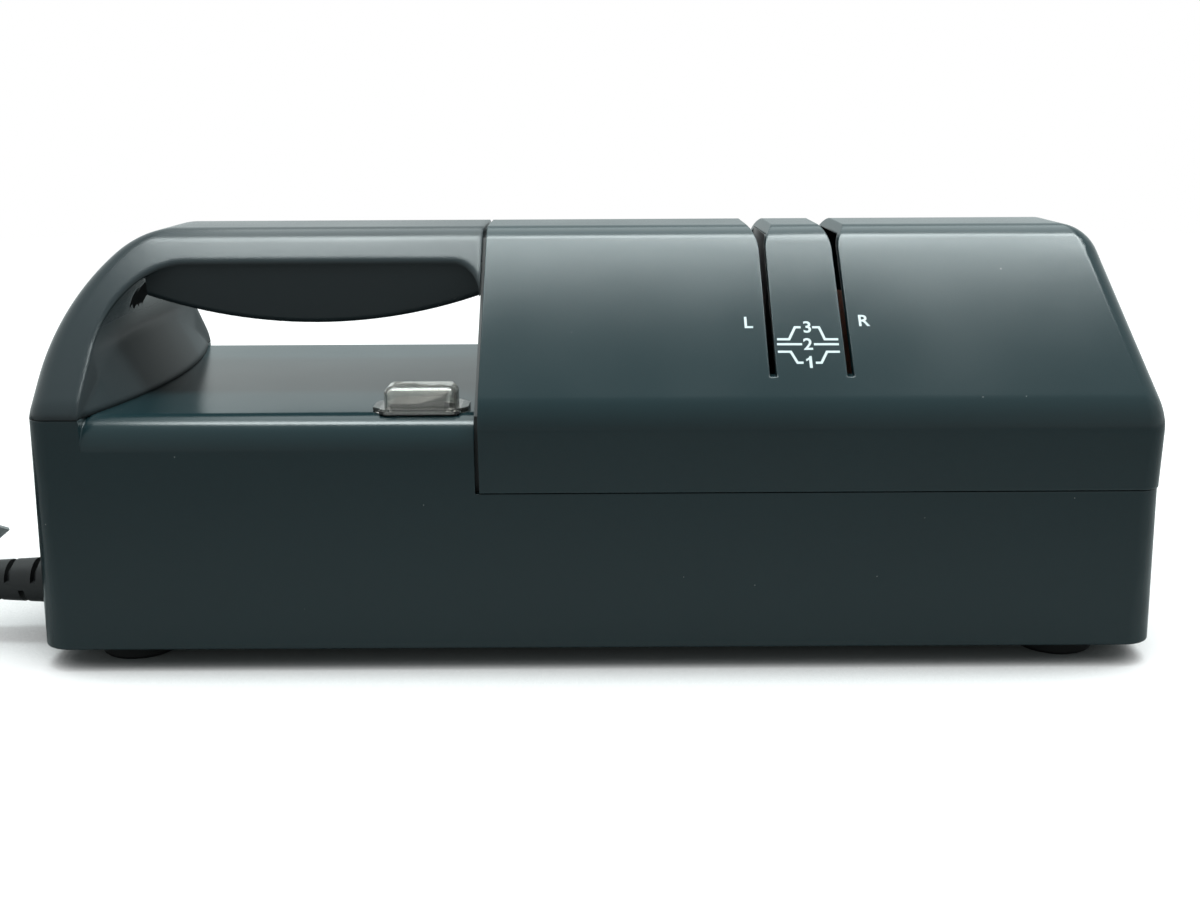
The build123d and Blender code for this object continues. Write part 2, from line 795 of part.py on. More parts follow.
def stator_core():
    """Stack of laminations with a bore, winding slots and bolt holes."""
    plan = RectangleRounded(stack_size, stack_size, stack_corner)
    place = Plane(origin=(stack_left, 0, spindle_height), x_dir=(0, 1, 0), z_dir=(1, 0, 0))
    core = extrude(place * plan, amount=stack_length)
    core -= rod_x(rotor_radius + air_gap, stack_left - 1, stack_right + 1, 0, spindle_height)
    middle = (winding_inner_radius + winding_outer_radius) / 2
    for y, z in slot_places(middle):
        core -= rod_x(winding_slot_radius, stack_left - 1, stack_right + 1, y, z)
    for y, z in bolt_places():
        core -= rod_x(tie_bolt_radius + screw_slip, stack_left - 1, stack_right + 1, y, z)
    return core


def stator_windings():
    """Two rounded end turns joined by the wire bundles in the slots."""
    middle = (winding_inner_radius + winding_outer_radius) / 2
    coils = Part()
    for x0 in (stack_left - winding_overhang, stack_right + winding_slip):
        x1 = x0 + winding_overhang - winding_slip
        ring = rod_x(winding_outer_radius, x0, x1, 0, spindle_height)
        ring -= rod_x(winding_inner_radius, x0 - 1, x1 + 1, 0, spindle_height)
        coils += fillet(ring.edges().filter_by(GeomType.CIRCLE), 2.5)
    for y, z in slot_places(middle):
        coils += rod_x(winding_slot_radius - winding_slip, stack_left - 2, stack_right + 2, y, z)
    return coils


def motor_bracket(outer_face, inner_face, stack_face):
    """End bracket: plate, bearing boss, four stand-offs and a foot under the stack."""
    way = 1 if inner_face > outer_face else -1
    half = stack_size / 2
    xs = sorted((outer_face, inner_face))
    plate = block(xs[0], xs[1], -half, half, spindle_height - half, spindle_height + half)
    plate = fillet(plate.edges().filter_by(Axis.X), stack_corner)
    ends = sorted((outer_face, outer_face + way * (bearing_width + 1)))
    boss = bearing_radius + bearing_boss_wall
    body = plate + rod_x(boss, ends[0], ends[1], 0, spindle_height)
    posts = sorted((inner_face, stack_face))
    for y, z in bolt_places():
        body += rod_x(tie_bolt_radius + 2.2, posts[0], posts[1], y, z)
    foot_low = plate_top + cushion_height
    foot = sorted((outer_face, outer_face + way * (motor_foot_depth + bracket_thickness)))
    width = motor_foot_width / 2
    body += block(xs[0], xs[1], -width, width, foot_low, spindle_height - half + 4)
    body += block(foot[0], foot[1], -width, width, foot_low, foot_low + motor_foot_thickness)
    body -= rod_x(bearing_radius, *sorted((outer_face + way, outer_face + way * 40)),
                  0, spindle_height)
    body -= rod_x(bearing_bore / 2 + 1.5, xs[0] - 2, xs[1] + 2, 0, spindle_height)
    for y, z in bolt_places():
        body -= rod_x(tie_bolt_radius + screw_slip, posts[0] - 20, posts[1] + 20, y, z)
    for x, y in motor_foot_places():
        body -= rod_z(pilot_radius + 0.4, foot_low - 1, foot_low + motor_foot_thickness + 1, x, y)
    return body


def motor_bracket_left():
    return motor_bracket(bracket_left_x, bracket_left_x + bracket_thickness, stack_left)


def motor_bracket_right():
    return motor_bracket(bracket_right_x + bracket_thickness, bracket_right_x, stack_right)


def tie_bolts():
    """Four long bolts with nuts that clamp the motor together."""
    left = bracket_left_x
    right = bracket_right_x + bracket_thickness
    pieces = []
    for y, z in bolt_places():
        bolt = rod_x(tie_bolt_radius, left - 4, right, y, z)
        bolt += rod_x(3.6, right, right + 2.0, y, z)
        nut = RegularPolygon(radius=3.4, side_count=6, major_radius=False)
        place = Plane(origin=(left, y, z), x_dir=(0, 1, 0), z_dir=(-1, 0, 0))
        pieces.append(bolt + extrude(place * nut, amount=2.6))
    return joined(pieces)


def motor_cushions():
    """Rubber washers under the motor feet."""
    top = plate_top + cushion_height
    return joined(rod_z(cushion_radius, plate_top, top, x, y)
                  - rod_z(pilot_radius + 0.4, plate_top - 1, top + 1, x, y)
                  for x, y in motor_foot_places())


def bearing_starts():
    """Left face of each ball bearing along the spindle."""
    right_motor = bracket_right_x + bracket_thickness - 1 - bearing_width
    return (bracket_left_x + 1, right_motor, outboard_x + 1)


def bearing_outer_rings():
    pieces = []
    for x in bearing_starts():
        ring = rod_x(bearing_radius, x, x + bearing_width, 0, spindle_height)
        ring -= rod_x(bearing_radius - bearing_race, x - 1, x + bearing_width + 1,
                      0, spindle_height)
        pieces.append(ring)
    return joined(pieces)


def bearing_inner_rings():
    """Inner rings with the cages and seals that fill the bearings."""
    pieces = []
    seal_radius = bearing_radius - bearing_race - 0.4
    for x in bearing_starts():
        middle = x + bearing_width / 2
        ring = rod_x(bearing_bore / 2 + bearing_race, x, x + bearing_width, 0, spindle_height)
        ring += rod_x(seal_radius, middle - 2.6, middle + 2.6, 0, spindle_height)
        ring -= rod_x(bearing_bore / 2, x - 1, x + bearing_width + 1, 0, spindle_height)
        pieces.append(ring)
    return joined(pieces)


def thermal_cutout():
    """Small sealed cut-out that rests on top of the stack."""
    top = spindle_height + stack_size / 2
    body = block(stack_left + 6, stack_right - 6, -7, 7, top, top + 4.5)
    return fillet(body.edges().filter_by(Axis.Z), 2.0)


# ---- Spindle -----------------------------------------------------------------------------
def spindle_shaft():
    """Ground steel shaft through the motor, both wheels and the outboard bearing."""
    left = bracket_left_x - fan_width - 3
    right = outboard_x + outboard_thickness - 0.5
    shaft = rod_x(bearing_bore / 2, left, right, 0, spindle_height)
    ends = [e for e in shaft.edges().filter_by(GeomType.CIRCLE)]
    return chamfer(ends, 0.6)


def rotor_core():
    """Squirrel-cage rotor with a smaller cast ring at each end."""
    core = rod_x(rotor_radius, stack_left, stack_right, 0, spindle_height)
    core += rod_x(rotor_radius - 2.5, stack_left - rotor_ring_overhang,
                  stack_right + rotor_ring_overhang, 0, spindle_height)
    return core - rod_x(bearing_bore / 2, stack_left - 9, stack_right + 9, 0, spindle_height)


def cooling_fan():
    """Radial fan: back disc, hub and straight blades."""
    right = bracket_left_x - 5.5
    left = right - fan_width + 2.5
    fan = rod_x(fan_radius, right - 1.6, right, 0, spindle_height)
    fan += rod_x(fan_hub_radius, left, right, 0, spindle_height)
    for n in range(fan_blades):
        blade = block(left, right - 0.8, fan_hub_radius - 1, fan_radius,
                      -fan_blade_thickness / 2, fan_blade_thickness / 2)
        fan += Pos(0, 0, spindle_height) * Rot(360 * n / fan_blades, 0, 0) * blade
    fan = fan & rod_x(fan_radius, left, right, 0, spindle_height)
    return fan - rod_x(bearing_bore / 2, left - 1, right + 1, 0, spindle_height)


def wheel(rim_x, way):
    """Grinding wheel whose flank cones towards its blade slot; way is -1 or 1."""
    place = Plane(origin=(rim_x, 0, spindle_height), x_dir=(0, 0, 1), z_dir=(-way, 0, 0))
    rim = extrude(place * Circle(wheel_radius), amount=-wheel_rim_width)
    cone = loft([place * Circle(wheel_radius),
                 place.offset(flank_run) * Circle(wheel_hub_radius)])
    body = rim + cone
    return body - rod_x(bearing_bore / 2, rim_x - 30, rim_x + 30, 0, spindle_height)


def grinding_wheel_left():
    return wheel(left_rim_x, -1)


def grinding_wheel_right():
    return wheel(right_rim_x, 1)


def wheel_flanges():
    """Washers clamped against the outer faces of both wheels."""
    pieces = []
    for rim_x, way in ((left_rim_x, -1), (right_rim_x, 1)):
        face = rim_x + way * wheel_rim_width
        xs = sorted((face, face + way * flange_width))
        ring = rod_x(flange_radius, xs[0], xs[1], 0, spindle_height)
        pieces.append(ring - rod_x(bearing_bore / 2, xs[0] - 1, xs[1] + 1, 0, spindle_height))
    return joined(pieces)


def wheel_spacer():
    """Sleeve between the two cones."""
    left = left_rim_x + flank_run
    right = right_rim_x - flank_run
    sleeve = rod_x(bearing_bore / 2 + 3, left, right, 0, spindle_height)
    return sleeve - rod_x(bearing_bore / 2, left - 1, right + 1, 0, spindle_height)


def lock_nut():
    """Hexagon nut that clamps the wheels on the shaft."""
    face = right_rim_x + wheel_rim_width + flange_width
    place = Plane(origin=(face, 0, spindle_height), x_dir=(0, 1, 0), z_dir=(1, 0, 0))
    hexagon = RegularPolygon(radius=lock_nut_flats / 2, side_count=6, major_radius=False)
    nut = extrude(place * hexagon, amount=lock_nut_height)
    return nut - rod_x(bearing_bore / 2, face - 1, face + lock_nut_height + 1, 0, spindle_height)


def bearing_stand():
    """Cast stand that carries the outboard bearing."""
    half = outboard_half_width
    right = outboard_x + outboard_thickness
    side = Polygon((-half, plate_top), (half, plate_top), (14.0, spindle_height),
                   (-14.0, spindle_height), align=None)
    web = Pos(outboard_x, 0, 0) * extrude(Plane.YZ * side, amount=outboard_thickness)
    boss = rod_x(bearing_radius + bearing_boss_wall, outboard_x, right, 0, spindle_height)
    foot = block(outboard_x, right + outboard_foot, -half, half, plate_top, plate_top + wall)
    stand = web + boss + foot
    stand -= rod_x(bearing_radius, outboard_x - 1, outboard_x + 1 + bearing_width,
                   0, spindle_height)
    stand -= rod_x(bearing_radius - 3, outboard_x, right + 1, 0, spindle_height)
    for x, y in outboard_foot_places():
        stand -= rod_z(pilot_radius + 0.4, plate_top - 1, plate_top + wall + 1, x, y)
    return stand


# ---- Switch ------------------------------------------------------------------------------
def switch_body():
    """Rocker switch housing that hangs in the deck cut-out."""
    half_x = switch_length / 2
    half_y = switch_width / 2
    low = deck_height - switch_depth
    body = block(switch_x - half_x, switch_x + half_x, switch_y - half_y, switch_y + half_y,
                 low, deck_height)
    body += block(switch_x - half_x - 1.0, switch_x + half_x + 1.0, switch_y - half_y - 0.6,
                  switch_y + half_y + 0.6, deck_height, deck_height + 0.7)
    body -= block(switch_x - half_x + switch_wall, switch_x + half_x - switch_wall,
                  switch_y - half_y + switch_wall, switch_y + half_y - switch_wall,
                  deck_height - switch_well, deck_height + 1)
    return body - rod_y(rocker_pin_radius + pivot_slip, switch_y - half_y + 0.4,
                        switch_y + half_y - 0.4, switch_x, deck_height - rocker_pivot_depth)


def rocker():
    """Rocker with two dished halves and a pin at each side, tipped to its off side."""
    half = rocker_length / 2
    pivot = deck_height - rocker_pivot_depth
    foot = half - 2.5
    outline = Polygon((-foot, -rocker_drop), (foot, -rocker_drop), (half, rocker_rise),
                      (0, rocker_rise - rocker_dish), (-half, rocker_rise), align=None)
    tips = [v for v in outline.vertices() if abs(v.X) > half - 0.1]
    outline = fillet(tips, 0.6)
    body = extrude(Plane.XZ * outline, amount=rocker_width / 2, both=True)
    pin_half = switch_width / 2 - 0.5
    body += rod_y(rocker_pin_radius, -pin_half, pin_half)
    return Pos(switch_x, switch_y, pivot) * Rot(0, -rocker_tilt, 0) * body


def switch_boot():
    """Clear moulded boot: eight-sided flange and a rounded hollow dome."""
    flange = Rectangle(boot_length, boot_width)
    flange = chamfer(flange.vertices(), boot_chamfer)
    base = extrude(Plane.XY.offset(deck_height) * flange, amount=boot_flange)
    base = Pos(switch_x, switch_y, 0) * base
    half_x = dome_length / 2
    half_y = dome_width / 2
    top = deck_height + dome_height
    dome = block(switch_x - half_x, switch_x + half_x, switch_y - half_y, switch_y + half_y,
                 deck_height, top)
    dome = fillet(dome.edges().filter_by(Axis.Z), dome_round + 0.6)
    dome = fillet(dome.edges().group_by(Axis.Z)[-1], dome_round)
    inner = block(switch_x - half_x + dome_wall, switch_x + half_x - dome_wall,
                  switch_y - half_y + dome_wall, switch_y + half_y - dome_wall,
                  deck_height - 1, top - dome_wall)
    inner = fillet(inner.edges().filter_by(Axis.Z), dome_round - 0.2)
    inner = fillet(inner.edges().group_by(Axis.Z)[-1], dome_round - dome_wall)
    seat_x = switch_length / 2 + 1.0 + part_gap
    seat_y = switch_width / 2 + 0.6 + part_gap
    seat = block(switch_x - seat_x, switch_x + seat_x, switch_y - seat_y, switch_y + seat_y,
                 deck_height - 1, deck_height + 0.7 + part_gap / 2)
    return base + dome - inner - seat


def switch_terminals():
    """Two blade terminals under the switch."""
    low = deck_height - switch_depth
    return joined(block(switch_x + x - 0.4, switch_x + x + 0.4, switch_y - 2.4, switch_y + 2.4,
                        low - 8, low) for x in (-5.0, 5.0))


# ---- Wiring inside the base --------------------------------------------------------------
def terminal_block():
    """Two-row screw terminal on the bottom plate."""
    half_x = terminal_length / 2
    half_y = terminal_width / 2
    body = block(terminal_x - half_x, terminal_x + half_x, -half_y, half_y,
                 plate_top, plate_top + terminal_height)
    body = fillet(body.edges().group_by(Axis.Z)[-1], 1.0)
    for x in (terminal_x - terminal_pitch, terminal_x, terminal_x + terminal_pitch):
        for y in (-half_y / 2, half_y / 2):
            body -= rod_z(1.8, plate_top + 8, plate_top + terminal_height + 1, x, y)
    return body


def suppression_capacitor():
    """Moulded capacitor that quiets the motor."""
    body = block(-84, -60, 14, 26, plate_top, plate_top + 15)
    return fillet(body.edges().group_by(Axis.Z)[-1], 1.5)


def cord_clamp():
    """Saddle that holds the lead inside the base."""
    x1 = clamp_x + clamp_width
    top = relief_z + cord_radius + 2.0
    saddle = block(clamp_x, x1, relief_y - 9, relief_y + 9, plate_top, top)
    saddle = fillet(saddle.edges().filter_by(Axis.X).group_by(Axis.Z)[-1], 3.0)
    return saddle - rod_x(cord_radius, clamp_x - 1, x1 + 1, relief_y, relief_z)


def wire_path(points, radius):
    """Route of straight runs joined by tangent arcs."""
    return FilletPolyline(*points, radius=radius)


def tube(path, radius):
    """Round tube along a path."""
    section = Plane(origin=path @ 0, z_dir=path % 0) * Circle(radius)
    return sweep(section, path=path)


def inner_lead():
    """End of the mains lead inside the base, from the strain relief past its clamp."""
    return rod_x(cord_radius, relief_inner_x, inner_lead_end, relief_y, relief_z)


def hook_up_wires():
    """Insulated wires between the lead, the terminal block, the switch and the motor."""
    start = inner_lead_end + 0.3
    low = deck_height - switch_depth - 8
    block_top = plate_top + terminal_height
    first = terminal_x - terminal_pitch
    last = terminal_x + terminal_pitch
    routes = (
        [(start, relief_y - 1.5, relief_z + 1.1), (start + 7.7, relief_y - 1.5, relief_z + 3.5),
         (first, -22, 30), (first, -4, 28), (first, -4, block_top)],
        [(start, relief_y + 1.4, relief_z - 0.7), (start + 9.7, relief_y + 4, relief_z + 1.5),
         (terminal_x, -24, 27), (terminal_x, -4, 26), (terminal_x, -4, block_top)],
        [(last, -4, block_top), (last, -4, 32), (last + 14, -20, 36),
         (switch_x - 5, switch_y, 36), (switch_x - 5, switch_y, low)],
        [(switch_x + 5, switch_y, low), (switch_x + 5, switch_y, 34),
         (-43, grommet_y - 1.2, grommet_z + 0.8), (-24, grommet_y - 1.2, grommet_z + 0.8),
         (2, -38.5, 50), (2, -39.5, 86), (5, -34, 99.7), (10, -20, 98.9), (10, -7.3, 98.6)],
    )
    return joined(tube(wire_path(route, 3.0), 1.0) for route in routes)


# ---- Mains lead --------------------------------------------------------------------------
relief_wall_x = -base_length / 2 + (relief_z - skirt_height) * tan(radians(draft))
relief_seat = relief_radius * tan(radians(draft)) + 0.05
relief_inner_x = relief_wall_x + wall + relief_seat + relief_flange
relief_tip_x = relief_wall_x - relief_length

lead_route = [
    (relief_tip_x, relief_y, relief_z),
    (relief_tip_x - 15, relief_y, relief_z),
    (relief_tip_x - 31, relief_y - 0.6, relief_z - 5.7),
    (relief_tip_x - 47, relief_y - 1.6, relief_z - 11.7),
    (coil_x, relief_y - 2.6, coil_lift + cord_radius),
]
coil_top = coil_lift + coil_height
plug_route = [
    (coil_x + 37.0, coil_y - 28.4, coil_top - 3.8),
    (coil_x + 25.8, coil_y - 40.7, coil_top),
    (coil_x + 10.4, coil_y - 48.4, coil_top + 1.6),
    (coil_x - 7.0, coil_y - 49.3, coil_top + 3.4),
    (coil_x - 23.1, coil_y - 43.1, coil_top + 4.9),
    (coil_x - 35.1, coil_y - 31.4, coil_top + 5.8),
    (coil_x - 41.5, coil_y - 15.9, coil_top + 6.6),
    (coil_x - 43.6, coil_y - 3.1, coil_top + 7.0),
    (coil_x - 43.6, coil_y + 8.9, coil_top + 7.0),
]
plug_x, plug_tail_y, plug_z = plug_route[-1]
plug_back_y = plug_tail_y + plug_tail
plug_face_y = plug_back_y + plug_length


def largest_radii(points):
    """Arc radius at each inner point: 0.45 of the shorter run over the tangent of half the turn."""
    radii = []
    for before, here, after in zip(points, points[1:], points[2:]):
        first = Vector(*here) - Vector(*before)
        second = Vector(*after) - Vector(*here)
        turn = radians(first.get_angle(second))
        radii.append(0.45 * min(first.length, second.length) / tan(turn / 2))
    return radii


def lead_tube(name, points):
    """Round tube of the lead along a route, with its volume and bend radii printed."""
    radii = largest_radii(points)
    path = FilletPolyline(*points, radius=radii)
    body = tube(path, cord_radius)
    expected = pi * cord_radius ** 2 * path.length
    print(name, "bend radii", [round(r, 1) for r in radii],
          "volume ratio", round(body.volume / expected, 4), "length", round(path.length, 1))
    return body


def strain_relief():
    """Tapered rubber sleeve with staggered slots, its neck held by the wall."""
    outer_x0 = relief_wall_x - relief_seat
    body = rod_x(relief_neck_radius, outer_x0 - 0.5, relief_inner_x, relief_y, relief_z)
    body += rod_x(relief_radius, relief_inner_x - relief_flange, relief_inner_x,
                  relief_y, relief_z)
    place = Plane(origin=(outer_x0, relief_y, relief_z), x_dir=(0, 1, 0), z_dir=(-1, 0, 0))
    sleeve = loft([place * Circle(relief_radius),
                   place.offset(outer_x0 - relief_tip_x) * Circle(relief_tip_radius)])
    for n in range(relief_slots):
        x = outer_x0 - 4.0 - n * relief_pitch
        side = 1 if n % 2 else -1
        ys = (relief_y - 20, relief_y + 20)
        z0, z1 = sorted((relief_z + side * 1.2, relief_z + side * 20))
        ring = block(x - relief_slot, x, ys[0], ys[1], z0, z1)
        sleeve -= ring - rod_x(cord_radius + 0.6, x - 9, x + 9, relief_y, relief_z)
    return body + sleeve


def power_cord():
    """Lead from the strain relief down to the outer turn of the coil."""
    return lead_tube("power_cord", lead_route)


def plug_lead():
    """Lead from the top turn of the coil to the plug."""
    return lead_tube("plug_lead", plug_route)


def cord_coil():
    """Outer shape of the put-away turns of the lead."""
    low = coil_lift
    ring = rod_z(coil_outer_radius, low, low + coil_height, coil_x, coil_y)
    ring -= rod_z(coil_inner_radius, low - 1, low + coil_height + 1, coil_x, coil_y)
    return fillet(ring.edges().filter_by(GeomType.CIRCLE), coil_round)


def tie_tail(direction, normal, length):
    """Flat free end of the tie, from the outer side of its loop."""
    root = (coil_x + coil_outer_radius + tie_thickness, coil_y, coil_lift + coil_height / 2)
    place = Plane(origin=root, x_dir=direction, z_dir=normal)
    strap = Box(length, tie_tail_width, tie_thickness, align=(Align.MIN, Align.CENTER,
                                                              Align.CENTER))
    return place * strap


def cord_tie():
    """Twisted strap tie round the turns, on the side towards the base."""
    low = coil_lift - part_gap
    high = coil_lift + coil_height + part_gap
    near = coil_x + coil_inner_radius - part_gap
    far = coil_x + coil_outer_radius + part_gap
    half = tie_width / 2
    outer = block(near - tie_thickness, far + tie_thickness, coil_y - half, coil_y + half,
                  0, high + tie_thickness)
    outer = fillet(outer.edges().filter_by(Axis.Y), coil_round)
    inner = block(near, far, coil_y - tie_width, coil_y + tie_width, low, high)
    inner = fillet(inner.edges().filter_by(Axis.Y), coil_round - tie_thickness / 2)
    rise = radians(tie_tail_rise)
    roll = radians(tie_tail_roll)
    along = (cos(rise), 0, sin(rise))
    face = (sin(rise) * sin(roll), -cos(roll), -cos(rise) * sin(roll))
    tie = outer - inner
    tie += tie_tail(along, face, tie_tail_length)
    tie += tie_tail((0.55, -0.8, 0.24), (0.824, 0.566, 0), tie_front_tail_length)
    return tie


def plug_body():
    """Moulded two-pin plug with a tapered tail over the lead."""
    body = block(plug_x - plug_width / 2, plug_x + plug_width / 2, plug_back_y, plug_face_y,
                 plug_z - plug_height / 2, plug_z + plug_height / 2)
    body = fillet(body.edges().filter_by(Axis.Y), plug_round)
    body = fillet(body.edges().group_by(Axis.Y)[0], plug_round / 2)
    place = Plane(origin=(plug_x, plug_back_y, plug_z), x_dir=(1, 0, 0), z_dir=(0, -1, 0))
    tail = loft([place.offset(-1) * Circle(plug_tail_root_radius),
                 place.offset(plug_tail) * Circle(plug_tail_radius)])
    return body + tail


def plug_pins():
    """Two flat blades, the neutral one wider."""
    pieces = []
    for side, width in ((-1, blade_width), (1, wide_blade_width)):
        x = plug_x + side * blade_spacing / 2
        pieces.append(block(x - blade_thickness / 2, x + blade_thickness / 2, plug_face_y,
                            plug_face_y + blade_length, plug_z - width / 2,
                            plug_z + width / 2))
    return joined(pieces)


# ---- Output ------------------------------------------------------------------------------
sub_parts = (
    base_housing, bottom_plate, rubber_feet, foot_screws, bulkhead, wire_grommet,
    handle_shell, handle_grip, handle_screws, plate_screws,
    cover, cover_insert, cover_screw, screw_clip, guide_block, guide_magnets,
    stator_core, stator_windings, motor_bracket_left, motor_bracket_right, tie_bolts,
    motor_cushions, bearing_outer_rings, bearing_inner_rings, thermal_cutout, bearing_stand,
    spindle_shaft, rotor_core, cooling_fan, grinding_wheel_left, grinding_wheel_right,
    wheel_flanges, wheel_spacer, lock_nut,
    switch_body, rocker, switch_boot, switch_terminals,
    terminal_block, suppression_capacitor, cord_clamp, inner_lead, hook_up_wires,
    strain_relief, power_cord, cord_coil, plug_lead, cord_tie, plug_body, plug_pins,
)

for make in sub_parts:
    export_step(make(), "parts/" + make.__name__ + ".step")
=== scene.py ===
"""Finishes for an electric knife sharpener: moulded shells, clear switch boot, grinding
parts, motor, mains lead and the white marks on the cover, with a plain studio round it.

Metres. X runs to the slotted end, Y to the back, Z up, and the feet stand on Z = 0.
"""

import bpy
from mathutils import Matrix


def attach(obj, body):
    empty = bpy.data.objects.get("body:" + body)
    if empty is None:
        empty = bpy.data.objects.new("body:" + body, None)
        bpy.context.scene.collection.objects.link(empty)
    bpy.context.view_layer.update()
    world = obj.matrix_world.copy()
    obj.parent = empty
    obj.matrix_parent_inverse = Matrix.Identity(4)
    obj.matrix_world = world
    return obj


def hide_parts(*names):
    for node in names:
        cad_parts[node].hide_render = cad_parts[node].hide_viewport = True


bl_info = {
    "name": "Knife sharpener finishes",
    "version": (1, 0, 0),
    "blender": (4, 5, 0),
    "location": "View3D > Sidebar > Sharpener",
    "description": "Gives an electric knife sharpener its finishes, marks, lead and studio",
    "category": "Object",
}

from math import radians

import bmesh
import bpy
import numpy as np
from bpy.props import FloatProperty, FloatVectorProperty, IntProperty, PointerProperty
from mathutils import Matrix

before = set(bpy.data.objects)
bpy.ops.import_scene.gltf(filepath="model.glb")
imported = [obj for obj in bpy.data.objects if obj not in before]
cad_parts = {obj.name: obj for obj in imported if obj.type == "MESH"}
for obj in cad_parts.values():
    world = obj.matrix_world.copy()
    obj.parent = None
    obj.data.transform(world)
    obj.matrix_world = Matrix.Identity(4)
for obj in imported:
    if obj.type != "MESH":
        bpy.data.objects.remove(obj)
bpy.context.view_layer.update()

MM = 0.001


def linear(code):
    """Linear RGB of an sRGB hex colour."""
    channels = np.array([int(code[i:i + 2], 16) for i in (1, 3, 5)]) / 255
    curve = np.where(channels <= 0.04045, channels / 12.92, ((channels + 0.055) / 1.055) ** 2.4)
    return tuple(float(c) for c in curve)


# ---- Sizes and colours ---------------------------------------------------------------
def colour(name, description, code):
    """A colour property with its default from a hex code."""
    return FloatVectorProperty(name=name, description=description, subtype="COLOR", size=3,
                               min=0, max=1, default=linear(code))


def length(name, description, value):
    """A length property in metres, with its default in millimetres."""
    return FloatProperty(name=name, description=description, subtype="DISTANCE",
                         unit="LENGTH", precision=5, default=value * MM)


class SharpenerColours(bpy.types.PropertyGroup):
    """Colours of the parts that show."""
    shell: colour("Shell", "Moulded base and cover", "#1A2D31")
    handle: colour("Handle", "Moulded handle, a little greyer than the shell", "#293134")
    insert: colour("Grip insert", "Smooth insert under the handle bar", "#262E31")
    rubber: colour("Rubber", "Feet, grommet and motor cushions", "#0B0B0C")
    lead: colour("Lead", "Vinyl jacket of the mains lead", "#101113")
    boot: colour("Boot", "Clear vinyl boot over the switch", "#F6F6F1")
    marks: colour("Marks", "Printed letters, numbers and guide lines", "#D3DEE1")
    abrasive: colour("Abrasive", "Bonded grit of the wheels", "#6A3C28")
    tie: colour("Tie", "Strap round the coiled lead", "#8E9293")


class SharpenerMarks(bpy.types.PropertyGroup):
    """Sizes of the printed marks."""
    digit_height: length("Digit height", "Height of 3, 2 and 1", 4.2)
    letter_height: length("Letter height", "Height of L and R", 4.1)
    line_width: length("Line width", "Width of the guide lines", 0.77)
    ink: length("Ink thickness", "How far the print stands proud", 0.04)
    stroke: length("Stroke gain", "How much the strokes are thickened", 0.09)


class SharpenerLead(bpy.types.PropertyGroup):
    """Sizes of the mains lead."""
    diameter: length("Diameter", "Outside of the jacket", 7.5)
    full_length: FloatProperty(name="Length", description="Exit to plug", subtype="DISTANCE",
                               unit="LENGTH", default=1.69)
    points_per_turn: IntProperty(name="Points per turn", description="Of the coiled part",
                                 default=16, min=12, max=32)


class SharpenerStudio(bpy.types.PropertyGroup):
    """Camera, lamps and floor."""
    lens: FloatProperty(name="Lens", description="Focal length in millimetres", default=37.5)
    pitch: FloatProperty(name="Pitch", description="Camera tilt from straight down",
                         subtype="ANGLE", default=radians(74.784))
    roll: FloatProperty(name="Roll", description="Camera roll", subtype="ANGLE",
                        default=radians(-0.29))
    strip_power: FloatProperty(name="Strip power", description="Overhead softbox", default=4.2,
                               unit="POWER")
    back_power: FloatProperty(name="Back power", description="Rear softbox", default=2.6,
                              unit="POWER")
    room: FloatProperty(name="Room light", description="Strength of the white room",
                        default=0.42)
    dim: FloatProperty(name="Dim side", description="Light box round the camera", default=0.4)
    pale: FloatProperty(name="Pale side", description="Light box at the sides", default=1.0)
    daylight: colour("Daylight", "Cool tint of the lamps and the room", "#F4FFFF")
    floor: colour("Floor", "Pale paper of the floor", "#ACAEAE")


# ---- Meshes --------------------------------------------------------------------------
def placed(name, mesh, body, material):
    """An object of a finished mesh, riding on a body of the frame if one is given."""
    mesh.materials.clear()
    mesh.materials.append(material)
    made = bpy.data.objects.new(name, mesh)
    bpy.context.scene.collection.objects.link(made)
    if body:
        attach(made, body)
    return made


def piece(name, vertices, faces, body, material):
    """A mesh object from an array of vertices and lists of faces."""
    mesh = bpy.data.meshes.new(name)
    mesh.from_pydata(np.asarray(vertices).tolist(), [], [list(f) for f in faces])
    mesh.update()
    return placed(name, mesh, body, material)


def grid_faces(rows, columns, close_rows=False):
    """Quads of a grid of rows by columns, the last row joined to the first if asked."""
    row, column = np.meshgrid(np.arange(rows if close_rows else rows - 1),
                              np.arange(columns - 1), indexing="ij")
    after = (row + 1) % rows
    return np.stack([row * columns + column, after * columns + column,
                     after * columns + column + 1, row * columns + column + 1],
                    axis=-1).reshape(-1, 4)


# ---- Materials -----------------------------------------------------------------------
def add(tree, kind, feeds=None, **settings):
    """Adds a shader node, sets its properties, and sets or links its inputs."""
    node = tree.nodes.new("ShaderNode" + kind)
    for name, value in settings.items():
        setattr(node, name, value)
    for socket, value in (feeds or {}).items():
        if isinstance(value, bpy.types.NodeSocket):
            tree.links.new(value, node.inputs[socket])
        else:
            node.inputs[socket].default_value = value
    return node


def new_material(name):
    """A material with only its output, and its object coordinates."""
    material = bpy.data.materials.new(name)
    material.use_nodes = True
    tree = material.node_tree
    tree.nodes.clear()
    place = add(tree, "TexCoord").outputs["Object"]
    return material, tree, place


def finish_with(tree, shader):
    """Links a shader to the output."""
    add(tree, "OutputMaterial", {"Surface": shader.outputs[0]})


def shade(rgb, factor):
    """A colour made lighter or darker, as RGBA."""
    return (*(min(1.0, c * factor) for c in rgb), 1.0)


def two_tone(tree, place, size, low, high, detail=3.0):
    """Colour that drifts between two tones over patches of a size in metres."""
    noise = add(tree, "TexNoise", {"Vector": place, "Scale": 1 / size, "Detail": detail})
    return add(tree, "Mix", {0: noise.outputs[0], 6: low, 7: high}, data_type="RGBA").outputs[2]


